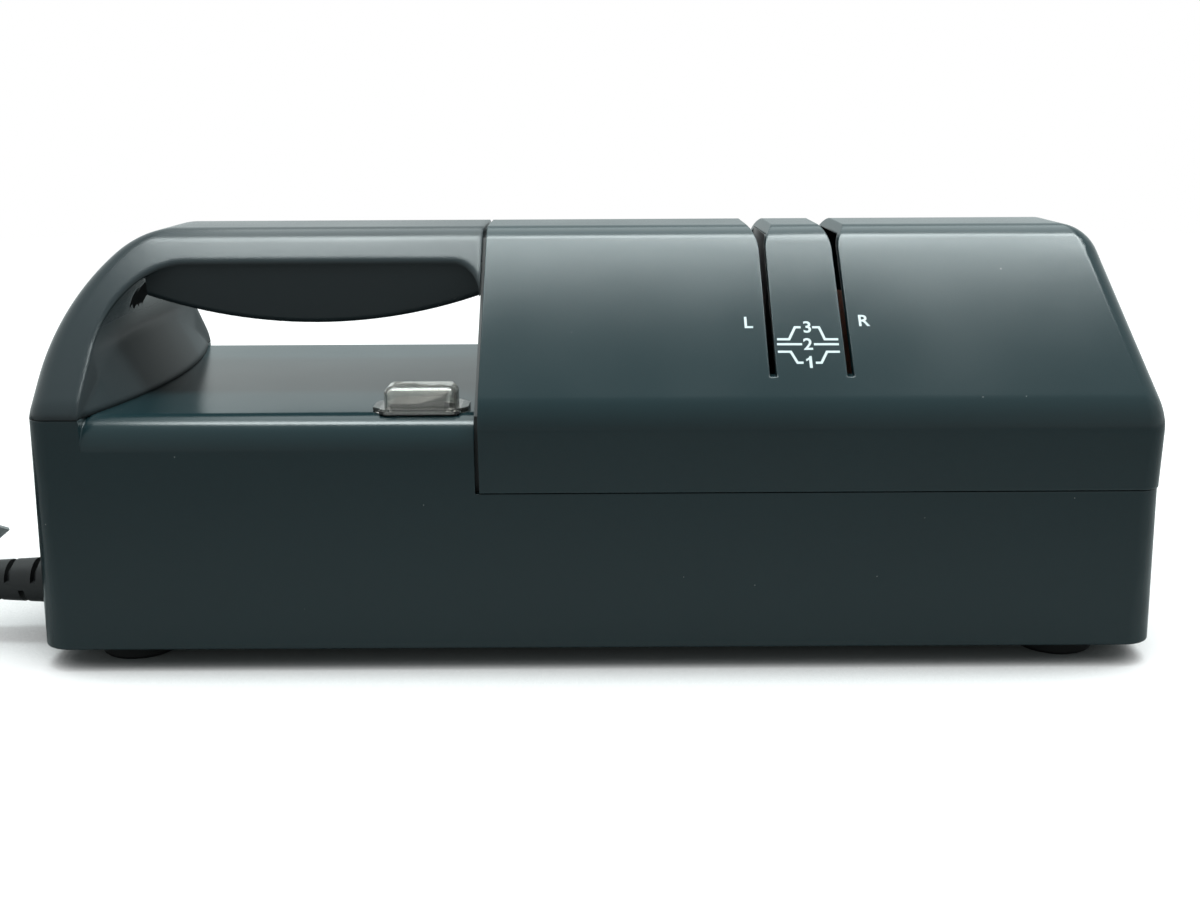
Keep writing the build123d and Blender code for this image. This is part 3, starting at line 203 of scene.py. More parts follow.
def spread(tree, value, low, high, start=0.3, end=0.7):
    """Maps a pattern onto a range of values."""
    return add(tree, "MapRange", {"Value": value, "From Min": start, "From Max": end,
                                  "To Min": low, "To Max": high}).outputs[0]


# Lint on the plastic: specks about 0.3 mm across, in four of ten cells 7 mm apart
LINT_SPACING = 7 * MM
LINT_REACH = 0.022
LINT_LEFT_OUT = 0.6
LINT_COLOUR = (0.45, 0.47, 0.47, 1.0)

# Marks on the handle, in metres. Painted shade of the joint to the base covers its lowest
# 0.2 mm and has faded at 0.4 mm; a dark smear at the insert's end takes the same colour.
# Then come the middle, reach and streaks of that smear, where the wall inside the hand
# opening starts, and the heights over which its dull face fades.
JOINT_LINE = (77.0 * MM, 77.2 * MM)
DARK_SMEAR_MIDDLE = (-147.5 * MM, -12.0 * MM, 107.5 * MM)
DARK_SMEAR_REACH = (5.0 * MM, 9.5 * MM)
DARK_SMEAR_STREAK = 2.2 * MM
DARK_SMEAR_AND_SHADE_COLOUR = (0.004, 0.005, 0.006, 1.0)
INNER_WALL = (-149.1 * MM, -148.89 * MM)
DULL_FADE = (92.0 * MM, 104.0 * MM)
DULL_SHARE = 0.35
DULL_ROUGHNESS = 0.95


def linted(tree, place, tone, dust):
    """A tone with sparse pale specks over it, as strong as the dust."""
    specks = add(tree, "TexVoronoi", {"Vector": place, "Scale": 1 / LINT_SPACING})
    near = add(tree, "Math", {0: specks.outputs["Distance"], 1: LINT_REACH},
               operation="LESS_THAN").outputs[0]
    pick = add(tree, "SeparateColor", {"Color": specks.outputs["Color"]}).outputs[0]
    some = add(tree, "Math", {0: pick, 1: LINT_LEFT_OUT}, operation="GREATER_THAN").outputs[0]
    speck = add(tree, "Math", {0: near, 1: some}, operation="MULTIPLY").outputs[0]
    amount = add(tree, "Math", {0: speck, 1: dust}, operation="MULTIPLY").outputs[0]
    return add(tree, "Mix", {0: amount, 6: tone, 7: LINT_COLOUR}, data_type="RGBA").outputs[2]


def handle_marks(tree, place):
    """Where the handle is dark, from a smear and from painted shade at the joint, and where it
    is dull: two masks from 0 to 1.
    """
    spot = add(tree, "SeparateXYZ", {"Vector": place}).outputs
    # painted shade: the lowest 0.2 mm of the handle is darkened, fading out by 0.4 mm, as the
    # shade of its joint to the base
    shade_line = spread(tree, spot["Z"], 0.9, 0.0, *JOINT_LINE)
    # a dark smear at the insert's end, with short streaks running down the post
    streaks = add(tree, "Mapping", {"Vector": place, "Scale": (1, 1, 0.2)}).outputs[0]
    ragged = add(tree, "TexNoise", {"Vector": streaks, "Scale": 1 / DARK_SMEAR_STREAK,
                                    "Detail": 2.0}).outputs[0]
    reach = add(tree, "VectorMath", {0: place, 1: DARK_SMEAR_MIDDLE},
                operation="SUBTRACT").outputs[0]
    reach = add(tree, "VectorMath", {0: reach, 1: (1.0, 0.8, 1.3)},
                operation="MULTIPLY").outputs[0]
    reach = add(tree, "VectorMath", {0: reach}, operation="LENGTH").outputs["Value"]
    edge_at = spread(tree, ragged, *DARK_SMEAR_REACH)
    smear = add(tree, "Math", {0: reach, 1: edge_at}, operation="LESS_THAN").outputs[0]
    # the dark mask joins the dark smear and the painted shade of the joint
    black = add(tree, "Math", {0: smear, 1: shade_line}, operation="MAXIMUM").outputs[0]
    # the wall inside the hand opening keeps the dull face of an unpolished tool
    inside = spread(tree, spot["X"], 0.0, DULL_SHARE, *INNER_WALL)
    below = spread(tree, spot["Z"], 1.0, 0.0, *DULL_FADE)
    dull = add(tree, "Math", {0: inside, 1: below}, operation="MULTIPLY").outputs[0]
    dull = add(tree, "Math", {0: dull, 1: black}, operation="MAXIMUM").outputs[0]
    return black, dull


def moulded(name, rgb, roughness, grain, depth, wave=0.0, specular=0.5, eased=0.0, dust=0.0,
            joint=False):
    """Injection moulded plastic.

    The grain of the tool is a fine noise of that size in metres, and the flow of the melt a
    slow change of tone and gloss. Wave is the depth of shallow sinks, eased the radius that
    the shading gives the edges, dust the strength of the lint, and joint adds the marks of
    the handle: painted shade at its joint to the base, a dark smear and a dull inner wall.
    """
    material, tree, place = new_material(name)
    tone = two_tone(tree, place, 45 * MM, shade(rgb, 0.93), shade(rgb, 1.07))
    if dust:
        tone = linted(tree, place, tone, dust)
    if joint:
        black, dull = handle_marks(tree, place)
        # the dark smear and the painted shade of the joint darken the tone here
        tone = add(tree, "Mix", {0: black, 6: tone, 7: DARK_SMEAR_AND_SHADE_COLOUR},
                   data_type="RGBA").outputs[2]
    gloss = add(tree, "TexNoise", {"Vector": place, "Scale": 1 / (60 * MM), "Detail": 2.0})
    rough = spread(tree, gloss.outputs[0], roughness - 0.03, roughness + 0.03)
    if joint:
        rough = add(tree, "Mix", {0: dull, 2: rough, 3: DULL_ROUGHNESS},
                    data_type="FLOAT").outputs[0]
    texture = add(tree, "TexNoise", {"Vector": place, "Scale": 1 / grain, "Detail": 4.0,
                                     "Roughness": 0.6})
    edge = {}
    if eased:
        edge = {"Normal": add(tree, "Bevel", {"Radius": eased}, samples=8).outputs[0]}
    bump = add(tree, "Bump", {"Height": texture.outputs[0], "Distance": depth,
                              "Strength": 1.0, **edge})
    if wave:
        sink = add(tree, "TexNoise", {"Vector": place, "Scale": 1 / (30 * MM), "Detail": 1.0})
        bump = add(tree, "Bump", {"Height": sink.outputs[0], "Distance": wave,
                                  "Normal": bump.outputs[0]})
    shader = add(tree, "BsdfPrincipled", {"Base Color": tone, "Roughness": rough,
                                          "Normal": bump.outputs[0], "IOR": 1.53,
                                          "Specular IOR Level": specular})
    finish_with(tree, shader)
    return material


# Scale times size at which the bands of the wave texture stand two sizes apart
BAND_SCALE = 0.16


def metal(name, rgb, roughness, pattern, size, depth, stretch=(1, 1, 1), tarnish=0.85):
    """Bare or plated metal.

    The pattern is a noise, grit or band texture of that size in metres, stretched along
    the direction of working, and drives the height, the tone and the roughness. Bands
    stand two sizes apart.
    """
    material, tree, place = new_material(name)
    worked = add(tree, "Mapping", {"Vector": place, "Scale": stretch}).outputs[0]
    if pattern == "bands":
        marks = add(tree, "TexWave", {"Vector": worked, "Scale": BAND_SCALE / size,
                                      "Distortion": 0.4}, bands_direction="X").outputs["Fac"]
    elif pattern == "grit":
        marks = add(tree, "TexVoronoi", {"Vector": worked, "Scale": 1 / size}).outputs[0]
    else:
        marks = add(tree, "TexNoise", {"Vector": worked, "Scale": 1 / size,
                                       "Detail": 5.0}).outputs[0]
    tone = add(tree, "Mix", {0: marks, 6: shade(rgb, tarnish), 7: shade(rgb, 1.04)},
               data_type="RGBA").outputs[2]
    rough = spread(tree, marks, roughness - 0.06, roughness + 0.08)
    bump = add(tree, "Bump", {"Height": marks, "Distance": depth})
    shader = add(tree, "BsdfPrincipled", {"Base Color": tone, "Metallic": 1.0,
                                          "Roughness": rough, "Normal": bump.outputs[0]})
    finish_with(tree, shader)
    return material


def extruded_vinyl(name, rgb):
    """Soft PVC jacket: a low satin gloss, faint die lines and scuffs."""
    material, tree, place = new_material(name)
    scuffs = add(tree, "TexNoise", {"Vector": place, "Scale": 1 / (4 * MM), "Detail": 6.0,
                                    "Roughness": 0.65}).outputs[0]
    tone = add(tree, "Mix", {0: scuffs, 6: shade(rgb, 0.8), 7: shade(rgb, 1.35)},
               data_type="RGBA").outputs[2]
    rough = spread(tree, scuffs, 0.36, 0.5)
    bump = add(tree, "Bump", {"Height": scuffs, "Distance": 0.03 * MM})
    shader = add(tree, "BsdfPrincipled", {"Base Color": tone, "Roughness": rough, "IOR": 1.53,
                                          "Normal": bump.outputs[0]})
    finish_with(tree, shader)
    return material


def clear_vinyl(name, rgb):
    """Dip-moulded clear vinyl: glass-like gloss, a slight wave and a little milkiness."""
    material, tree, place = new_material(name)
    wave = add(tree, "TexNoise", {"Vector": place, "Scale": 1 / (7 * MM), "Detail": 1.0})
    bump = add(tree, "Bump", {"Height": wave.outputs[0], "Distance": 0.12 * MM})
    smear = add(tree, "TexNoise", {"Vector": place, "Scale": 1 / (3 * MM), "Detail": 3.0})
    rough = spread(tree, smear.outputs[0], 0.01, 0.06)
    tint = two_tone(tree, place, 6 * MM, shade(rgb, 0.82), shade(rgb, 0.98))
    shader = add(tree, "BsdfPrincipled", {"Base Color": tint, "Roughness": rough, "IOR": 1.55,
                                          "Transmission Weight": 0.94,
                                          "Normal": bump.outputs[0]})
    finish_with(tree, shader)
    return material


def bonded_abrasive(name, rgb):
    """Vitrified grit: coarse grains of two browns with open pores between them."""
    material, tree, place = new_material(name)
    # grit of 0.4 mm, a little coarser than real so that it shows
    grains = add(tree, "TexVoronoi", {"Vector": place, "Scale": 1 / (0.4 * MM)})
    pick = add(tree, "SeparateColor", {"Color": grains.outputs["Color"]}).outputs[0]
    tone = add(tree, "Mix", {0: pick, 6: shade(rgb, 0.55), 7: shade(rgb, 1.5)},
               data_type="RGBA").outputs[2]
    bump = add(tree, "Bump", {"Height": grains.outputs["Distance"], "Distance": 0.2 * MM})
    rough = spread(tree, pick, 0.75, 0.95, 0.0, 1.0)
    shader = add(tree, "BsdfPrincipled", {"Base Color": tone, "Roughness": rough,
                                          "Normal": bump.outputs[0]})
    finish_with(tree, shader)
    return material


def printed_ink(name, rgb):
    """Pad-printed ink: even white with slightly thin patches and a satin face."""
    material, tree, place = new_material(name)
    tone = two_tone(tree, place, 0.8 * MM, shade(rgb, 0.86), shade(rgb, 1.0))
    film = add(tree, "TexNoise", {"Vector": place, "Scale": 1 / (0.5 * MM)})
    bump = add(tree, "Bump", {"Height": film.outputs[0], "Distance": 0.01 * MM})
    shader = add(tree, "BsdfPrincipled", {"Base Color": tone, "Roughness": 0.45, "IOR": 1.5,
                                          "Normal": bump.outputs[0]})
    finish_with(tree, shader)
    return material


def lit_rays(tree):
    """1 for rays that show the white background: to the camera, in gloss and through glass."""
    ray = add(tree, "LightPath").outputs
    shown = add(tree, "Math", {0: ray["Is Camera Ray"], 1: ray["Is Glossy Ray"]},
                operation="MAXIMUM").outputs[0]
    return add(tree, "Math", {0: shown, 1: ray["Is Transmission Ray"]},
               operation="MAXIMUM").outputs[0]


def rounding_group():
    """Geometry nodes that join touching triangles and keep edges over 30 degrees sharp."""
    group = bpy.data.node_groups.new("smooth_by_angle", "GeometryNodeTree")
    for way in ("INPUT", "OUTPUT"):
        group.interface.new_socket("Geometry", in_out=way, socket_type="NodeSocketGeometry")
    kinds = ("NodeGroupInput", "GeometryNodeMergeByDistance", "GeometryNodeSetShadeSmooth",
             "GeometryNodeSetShadeSmooth", "NodeGroupOutput")
    chain = [group.nodes.new(kind) for kind in kinds]
    for before, after in zip(chain, chain[1:]):
        group.links.new(before.outputs[0], after.inputs[0])
    chain[1].inputs["Distance"].default_value = 0.002 * MM
    chain[2].domain = "EDGE"
    bend = group.nodes.new("GeometryNodeInputMeshEdgeAngle")
    blunt = group.nodes.new("FunctionNodeCompare")
    blunt.operation = "LESS_EQUAL"
    blunt.inputs[1].default_value = radians(30)
    group.links.new(bend.outputs["Unsigned Angle"], blunt.inputs[0])
    group.links.new(blunt.outputs[0], chain[2].inputs["Shade Smooth"])
    return group


def smooth(part):
    """Rounds the shading of a CAD node; its large flat faces lead the normals."""
    group = bpy.data.node_groups.get("smooth_by_angle") or rounding_group()
    part.modifiers.new("smooth_by_angle", "NODES").node_group = group
    lead = part.modifiers.new("flat_faces_lead", "WEIGHTED_NORMAL")
    lead.weight = 100
    lead.keep_sharp = True


def dress(material, *nodes):
    """Gives CAD nodes a finish."""
    for name in nodes:
        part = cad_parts[name]
        smooth(part)
        for slot in part.material_slots:
            slot.material = material
        if not part.material_slots:
            part.data.materials.append(material)


# ---- Operators -----------------------------------------------------------------------
# The studio, in metres and degrees: each softbox by name, place, width, depth and tilt
CAMERA_PLACE = (0.0012, -0.4126, 0.1622)
STRIP = ("strip", (0.05, -0.015, 0.6), 0.74, 0.09, 0)
BACK = ("back", (0.05, 0.27, 0.62), 0.74, 0.5, -8)
DOME_RADIUS = 1.4
DOME_ROWS, DOME_COLUMNS = 10, 37
FLOOR_LINES = 13
SKY_REACH = 0.16


class SHARPENER_OT_stage(bpy.types.Operator):
    """Camera, overhead and rear softboxes, white room and paper floor"""
    bl_idname = "sharpener.stage"
    bl_label = "Studio"

    def execute(self, context):
        studio = context.scene.sharpener_studio
        scene = context.scene
        scene.view_settings.view_transform = "Standard"

        lens = bpy.data.cameras.new("camera")
        lens.lens = studio.lens
        lens.sensor_width = 36
        lens.clip_start = 0.01
        lens.clip_end = 60
        camera = bpy.data.objects.new("camera", lens)
        turn = Matrix.Rotation(studio.pitch, 4, "X") @ Matrix.Rotation(studio.roll, 4, "Z")
        camera.matrix_world = Matrix.Translation(CAMERA_PLACE) @ turn
        scene.collection.objects.link(camera)
        scene.camera = camera

        for name, place, wide, deep, tilt, power in (
                (*STRIP, studio.strip_power), (*BACK, studio.back_power)):
            lamp = bpy.data.lights.new(name, "AREA")
            lamp.color = studio.daylight
            lamp.shape = "RECTANGLE"
            lamp.size = wide
            lamp.size_y = deep
            lamp.energy = power
            holder = bpy.data.objects.new(name, lamp)
            lean = Matrix.Rotation(radians(tilt), 4, "X")
            holder.matrix_world = Matrix.Translation(place) @ lean
            scene.collection.objects.link(holder)

        # the lining of the light box is dim round the camera and pale at the sides and behind
        # the object; it only shows in gloss
        lining, tree, place = new_material("light_box_cloth")
        spot = add(tree, "SeparateXYZ", {"Vector": place}).outputs
        side = add(tree, "Math", {0: spot["X"]}, operation="ABSOLUTE").outputs[0]
        side = add(tree, "Math", {0: side, 1: 1.8}, operation="MULTIPLY").outputs[0]
        back = add(tree, "Math", {0: spot["Y"], 1: 0.6}, operation="MULTIPLY").outputs[0]
        side = add(tree, "Math", {0: side, 1: back}, operation="ADD").outputs[0]
        side = spread(tree, side, studio.dim, studio.pale, -1.0, 3.1)
        glow = add(tree, "Emission", {"Color": (*studio.daylight, 1), "Strength": side})
        finish_with(tree, glow)
        rise, turn = np.meshgrid(np.radians(np.linspace(0, 90, DOME_ROWS)),
                                 np.radians(np.linspace(0, 360, DOME_COLUMNS)), indexing="ij")
        dome = DOME_RADIUS * np.stack([np.cos(rise) * np.cos(turn), np.cos(rise) * np.sin(turn),
                                       np.sin(rise)], axis=-1).reshape(-1, 3)
        box = piece("light_box", dome, grid_faces(DOME_ROWS, DOME_COLUMNS).tolist(), None,
                    lining)
        box.visible_camera = box.visible_diffuse = box.visible_shadow = False
        box.visible_transmission = False

        world = bpy.data.worlds.new("white_room")
        world.use_nodes = True
        tree = world.node_tree
        tree.nodes.clear()
        lit = add(tree, "Background", {"Color": (*studio.daylight, 1), "Strength": studio.room})
        white = add(tree, "Background", {"Color": (1, 1, 1, 1), "Strength": 1.0})
        both = add(tree, "MixShader", {0: lit_rays(tree), 1: lit.outputs[0],
                                       2: white.outputs[0]})
        add(tree, "OutputWorld", {"Surface": both.outputs[0]})
        scene.world = world

        paper, tree, place = new_material("matt_paper_sweep")
        tone = two_tone(tree, place, 0.4, shade(studio.floor, 0.98), shade(studio.floor, 1.0))
        fibre = add(tree, "TexNoise", {"Vector": place, "Scale": 1 / (2 * MM)})
        bump = add(tree, "Bump", {"Height": fibre.outputs[0], "Distance": 0.02 * MM})
        matt = add(tree, "BsdfDiffuse", {"Color": tone, "Normal": bump.outputs[0]})
        # the paper is lifted to white where the sky above it is open, so it keeps the shadow
        open_sky = add(tree, "AmbientOcclusion", {"Distance": SKY_REACH},
                       samples=8).outputs["AO"]
        open_sky = spread(tree, open_sky, 0.0, 0.9, 0.3, 0.8)
        ray = add(tree, "LightPath").outputs
        lift = add(tree, "Math", {0: ray["Is Camera Ray"], 1: ray["Is Transmission Ray"]},
                   operation="MAXIMUM").outputs[0]
        lift = add(tree, "Math", {0: lift, 1: open_sky}, operation="MULTIPLY").outputs[0]
        near = add(tree, "Emission", {"Color": (1, 1, 1, 1), "Strength": lift}).outputs[0]
        near = add(tree, "AddShader", {0: matt.outputs[0], 1: near}).outputs[0]
        # far from the object it is plain white to the camera and in gloss and glass
        white = add(tree, "Emission", {"Color": (1, 1, 1, 1), "Strength": 1.0}).outputs[0]
        away = add(tree, "VectorMath", {0: place}, operation="LENGTH").outputs["Value"]
        away = spread(tree, away, 0.0, 1.0, 0.6, 1.5)
        seen = add(tree, "Math", {0: lit_rays(tree), 1: away}, operation="MULTIPLY").outputs[0]
        finish_with(tree, add(tree, "MixShader", {0: seen, 1: near, 2: white}))
        across, along = np.meshgrid(np.linspace(-6, 6, FLOOR_LINES),
                                    np.linspace(-4, 8, FLOOR_LINES), indexing="ij")
        flat = np.stack([across.ravel(), along.ravel(), np.zeros(across.size)], axis=-1)
        floor = piece("paper_floor", flat, grid_faces(FLOOR_LINES, FLOOR_LINES).tolist(), None,
                      paper)
        return {"FINISHED"}


# The coil in millimetres and turns: its centre, its outer radius, the height of its lower
# layer, the pitch from turn to turn, its number of turns, where on a turn a step starts,
# how much of a turn a step in and a step out or up take, the inward bow of the climb, and
# the height at which the end leaves the top layer
COIL_CENTRE = (-278.0, 7.5)
COIL_RADIUS = 48.5
COIL_BOTTOM = 4.95
COIL_PITCH = 7.5
COIL_TURNS = 5.82
STEP_START = 0.847
STEP_IN, STEP_OUT = 0.111, 0.222
CLIMB_BOW = 4.5
COIL_TOP = 16.2


def lead_points(per_turn):
    """Control points of the lead in metres: down from the sleeve, round the coil, to the plug.

    The coil turns clockwise seen from above. Its radius steps in by one diameter at the
    end of each of the first two turns, the lead climbs on the third, and the radius steps
    out again on the next two, so that two layers of three turns lie on each other. A step
    is u squared times (3 - 2u), where u runs from 0 to 1 over the width of the step.
    """
    down = [(-215.518, -38.0, 18.5), (-230.518, -38.0, 18.5), (-246.518, -38.6, 12.8),
            (-262.518, -39.6, 6.8), (-278.0, -40.6, 4.95)]
    centre = np.array(COIL_CENTRE)
    turn = np.arange(1, round(COIL_TURNS * per_turn)) / per_turn

    def step(number, width):
        """0 before the step at the end of that turn, 1 after it."""
        u = np.clip((turn - number - STEP_START) / width, 0, 1)
        return u * u * (3 - 2 * u)

    radius = COIL_RADIUS - COIL_PITCH * (step(0, STEP_IN) + step(1, STEP_IN)
                                         - step(3, STEP_OUT) - step(4, STEP_OUT))
    climb = np.clip((turn - 2 - STEP_START) / STEP_OUT, 0, 1)
    radius = (radius - CLIMB_BOW * np.sin(np.pi * climb)) / np.cos(np.pi / per_turn)
    height = COIL_BOTTOM + COIL_PITCH * step(2, STEP_OUT)
    angle = np.radians(270 - 360 * turn)
    coil = np.stack([centre[0] + radius * np.cos(angle), centre[1] + radius * np.sin(angle),
                     height], axis=-1)
    top = COIL_TOP
    up = [(37.0, -28.4, top - 3.8), (25.8, -40.7, top), (10.4, -48.4, top + 1.6),
          (-7.0, -49.3, top + 3.4), (-23.1, -43.1, top + 4.9), (-35.1, -31.4, top + 5.8),
          (-41.5, -15.9, top + 6.6), (-43.6, -3.1, top + 7.0), (-43.6, 8.9, top + 7.0)]
    tail = np.array(up) + [centre[0], centre[1], 0]
    return np.concatenate([down, coil, tail]) * MM


class SHARPENER_OT_lead(bpy.types.Operator):
    """Mains lead: out of its sleeve, wound up and ending in its plug"""
    bl_idname = "sharpener.lead"
    bl_label = "Mains lead"

    def execute(self, context):
        sizes = context.scene.sharpener_lead
        colours = context.scene.sharpener_colours
        points = lead_points(sizes.points_per_turn)
        line = bpy.data.curves.new("mains_lead", "CURVE")
        line.dimensions = "3D"
        spline = line.splines.new("NURBS")
        spline.points.add(len(points) - 1)
        spline.points.foreach_set("co", np.column_stack([points, np.ones(len(points))]).ravel())
        spline.order_u = 3
        spline.use_endpoint_u = True
        spline.resolution_u = 6
        line.bevel_depth = sizes.diameter / 2
        line.bevel_resolution = 5
        line.use_fill_caps = True
        # PVC, extruded over the cores: satin black with a soft sheen
        jacket = extruded_vinyl("pvc_extruded_jacket", colours.lead)
        line.materials.append(jacket)
        lead = bpy.data.objects.new("mains_lead", line)
        context.scene.collection.objects.link(lead)
        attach(lead, "root")
        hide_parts("power_cord", "cord_coil", "plug_lead")
        dress(jacket, "inner_lead")
        # PVC, moulded round the lead: rubbery and a little greyer at its slots
        sleeve = moulded("pvc_moulded_sleeve", shade(colours.lead, 0.9)[:3], 0.5, 0.5 * MM,
                         0.02 * MM)
        dress(sleeve, "strain_relief", "plug_body")
        # brass, nickel plated: pale warm shine with fine rolling lines along the blades
        dress(metal("brass_nickel_plated", linear("#C9C2A8"), 0.25, "noise", 1.2 * MM,
                    0.01 * MM, (1, 0.08, 1)), "plug_pins")
        # nylon 6, moulded strap: even grey with a soft gloss
        dress(moulded("nylon_moulded_strap", colours.tie, 0.35, 0.8 * MM, 0.02 * MM),
              "cord_tie")
        return {"FINISHED"}


class SHARPENER_OT_shells(bpy.types.Operator):
    """Base, handle, cover, grip insert, bulkhead and bottom plate"""
    bl_idname = "sharpener.shells"
    bl_label = "Moulded shells"

    def execute(self, context):
        colours = context.scene.sharpener_colours
        # ABS, moulded in a spark-eroded tool: fine even grain that blurs highlights
        dress(moulded("abs_spark_textured", colours.shell, 0.19, 0.45 * MM, 0.016 * MM,
                      0.02 * MM, 0.36, 0.8 * MM, 0.5), "base_housing", "cover")
        # the same ABS, a little greyer: softer edges, painted shade along the joint to the
        # base, a dark smear at the insert's end and a dull wall inside the hand opening
        dress(moulded("abs_spark_textured_handle", colours.handle, 0.2, 0.45 * MM, 0.016 * MM,
                      0.02 * MM, 0.31, 3.0 * MM, 0.5, True), "handle_shell")
        # ABS, moulded in a stoned tool: a duller, smoother black than the shells
        insert = moulded("abs_satin_insert", colours.insert, 0.42, 0.9 * MM, 0.01 * MM,
                         0.01 * MM, 0.3)
        dress(insert, "handle_grip")
        # ABS, moulded without a texture: inner walls that nobody sees
        inner = moulded("abs_plain_black", linear("#141617"), 0.45, 1.0 * MM, 0.01 * MM)
        dress(inner, "bulkhead", "bottom_plate")
        return {"FINISHED"}


class SHARPENER_OT_rubber(bpy.types.Operator):
    """Feet, wire grommet and motor cushions"""
    bl_idname = "sharpener.rubber"
    bl_label = "Rubber parts"

    def execute(self, context):
        # natural rubber, compression moulded: nearly black, dusty and dull
        rubber = moulded("rubber_moulded", context.scene.sharpener_colours.rubber, 0.72,
                         0.6 * MM, 0.05 * MM, 0.0, 0.3, 0.0, 0.3)
        dress(rubber, "rubber_feet", "wire_grommet", "motor_cushions")
        return {"FINISHED"}


class SHARPENER_OT_switch(bpy.types.Operator):
    """Rocker switch, its terminals and its clear boot"""
    bl_idname = "sharpener.switch"
    bl_label = "Switch"

    def execute(self, context):
        # phenolic, compression moulded: hard black with a dull gloss
        dress(moulded("phenolic_moulded", linear("#101011"), 0.4, 0.7 * MM, 0.01 * MM),
              "switch_body", "thermal_cutout")
        # nylon, moulded in a polished tool: glossy black key
        dress(moulded("nylon_polished_rocker", linear("#0C0C0D"), 0.18, 1.5 * MM, 0.004 * MM),
              "rocker")
        # vinyl, dip moulded: clear, thick and shiny
        dress(clear_vinyl("vinyl_clear_dipped", context.scene.sharpener_colours.boot),
              "switch_boot")
        # brass, stamped: yellow with drawing lines
        dress(metal("brass_stamped", linear("#C79A4A"), 0.3, "noise", 1.0 * MM, 0.01 * MM,
                    (1, 1, 0.1)), "switch_terminals", "cover_insert")
        return {"FINISHED"}


class SHARPENER_OT_grinding(bpy.types.Operator):
    """Grinding wheels, their flanges and nut, the shaft, the stand and the blade guide"""
    bl_idname = "sharpener.grinding"
    bl_label = "Grinding parts"

    def execute(self, context):
        # aluminium oxide, bonded and fired: rough brown grit
        dress(bonded_abrasive("alumina_bonded_wheel", context.scene.sharpener_colours.abrasive),
              "grinding_wheel_left", "grinding_wheel_right")
        # steel, ground: bright with fine lines round the shaft
        dress(metal("steel_ground", linear("#B9BCBE"), 0.22, "noise", 0.8 * MM, 0.01 * MM,
                    (6, 1, 1)),
              "spindle_shaft", "wheel_flanges", "wheel_spacer", "bearing_outer_rings",
              "bearing_inner_rings", "screw_clip")
        # aluminium, die cast: matt grey with a frosty skin
        dress(metal("aluminium_die_cast", linear("#A9ABAC"), 0.45, "grit", 1.5 * MM, 0.05 * MM),
              "bearing_stand", "motor_bracket_left", "motor_bracket_right")
        # acetal, moulded: dark, waxy guide for the blade
        dress(moulded("acetal_moulded_guide", linear("#1D2021"), 0.3, 1.0 * MM, 0.008 * MM),
              "guide_block")
        # ferrite, sintered: dark grey and slightly grainy
        dress(metal("ferrite_sintered", linear("#3A3A3C"), 0.5, "grit", 0.5 * MM, 0.03 * MM),
              "guide_magnets")
        return {"FINISHED"}


class SHARPENER_OT_motor(bpy.types.Operator):
    """Stator, windings, rotor and fan"""
    bl_idname = "sharpener.motor"
    bl_label = "Motor"

    def execute(self, context):
        # silicon steel, stacked sheets: dark lines along X, drawn 2 mm apart to show
        dress(metal("silicon_steel_stacked", linear("#6B6D70"), 0.4, "bands", 1.0 * MM,
                    0.08 * MM), "stator_core", "rotor_core")
        # copper wire, enamelled and wound: orange strands, drawn 1.6 mm apart to show
        dress(metal("copper_enamelled_wire", linear("#B4652E"), 0.28, "bands", 0.8 * MM,
                    0.25 * MM, (0.2, 1, 1), 0.5), "stator_windings")
        # nylon, natural: milky fan with soft gloss
        dress(moulded("nylon_natural", linear("#D8D4C4"), 0.4, 1.2 * MM, 0.01 * MM),
              "cooling_fan", "terminal_block", "cord_clamp")
        return {"FINISHED"}


class SHARPENER_OT_hardware(bpy.types.Operator):
    """Screws, bolts, nut, capacitor and hook-up wires"""
    bl_idname = "sharpener.hardware"
    bl_label = "Hardware and wiring"

    def execute(self, context):
        # steel, zinc plated: cool silver with a faint bloom
        dress(metal("steel_zinc_plated", linear("#B5B8B9"), 0.32, "noise", 2.5 * MM, 0.01 * MM),
              "foot_screws", "handle_screws", "plate_screws", "cover_screw", "tie_bolts",
              "lock_nut")
        # polyester film, cast in a case: glossy yellow
        dress(moulded("polyester_case", linear("#C9A332"), 0.25, 1.5 * MM, 0.006 * MM),
              "suppression_capacitor")
        # PVC insulation, extruded: thin black wires
        dress(extruded_vinyl("pvc_wire_insulation", linear("#141414")), "hook_up_wires")
        return {"FINISHED"}


# The front slope of the cover: along X, and up the slope from the sharp line of the eave
SLOPE = radians(44.5)
SLOPE_FOOT = (-65.01, 78.4)
# How far the print reaches under the face of the shell, in millimetres
ROOTED = 0.05


def on_slope(flat):
    """Points on the front slope: x stays, y goes up the slope and z stands off it."""
    x, up, off = np.asarray(flat, float).T
    c, s = np.cos(SLOPE), np.sin(SLOPE)
    return np.stack([x, SLOPE_FOOT[0] + up * c - off * s, SLOPE_FOOT[1] + up * s + off * c],
                    axis=-1) * MM


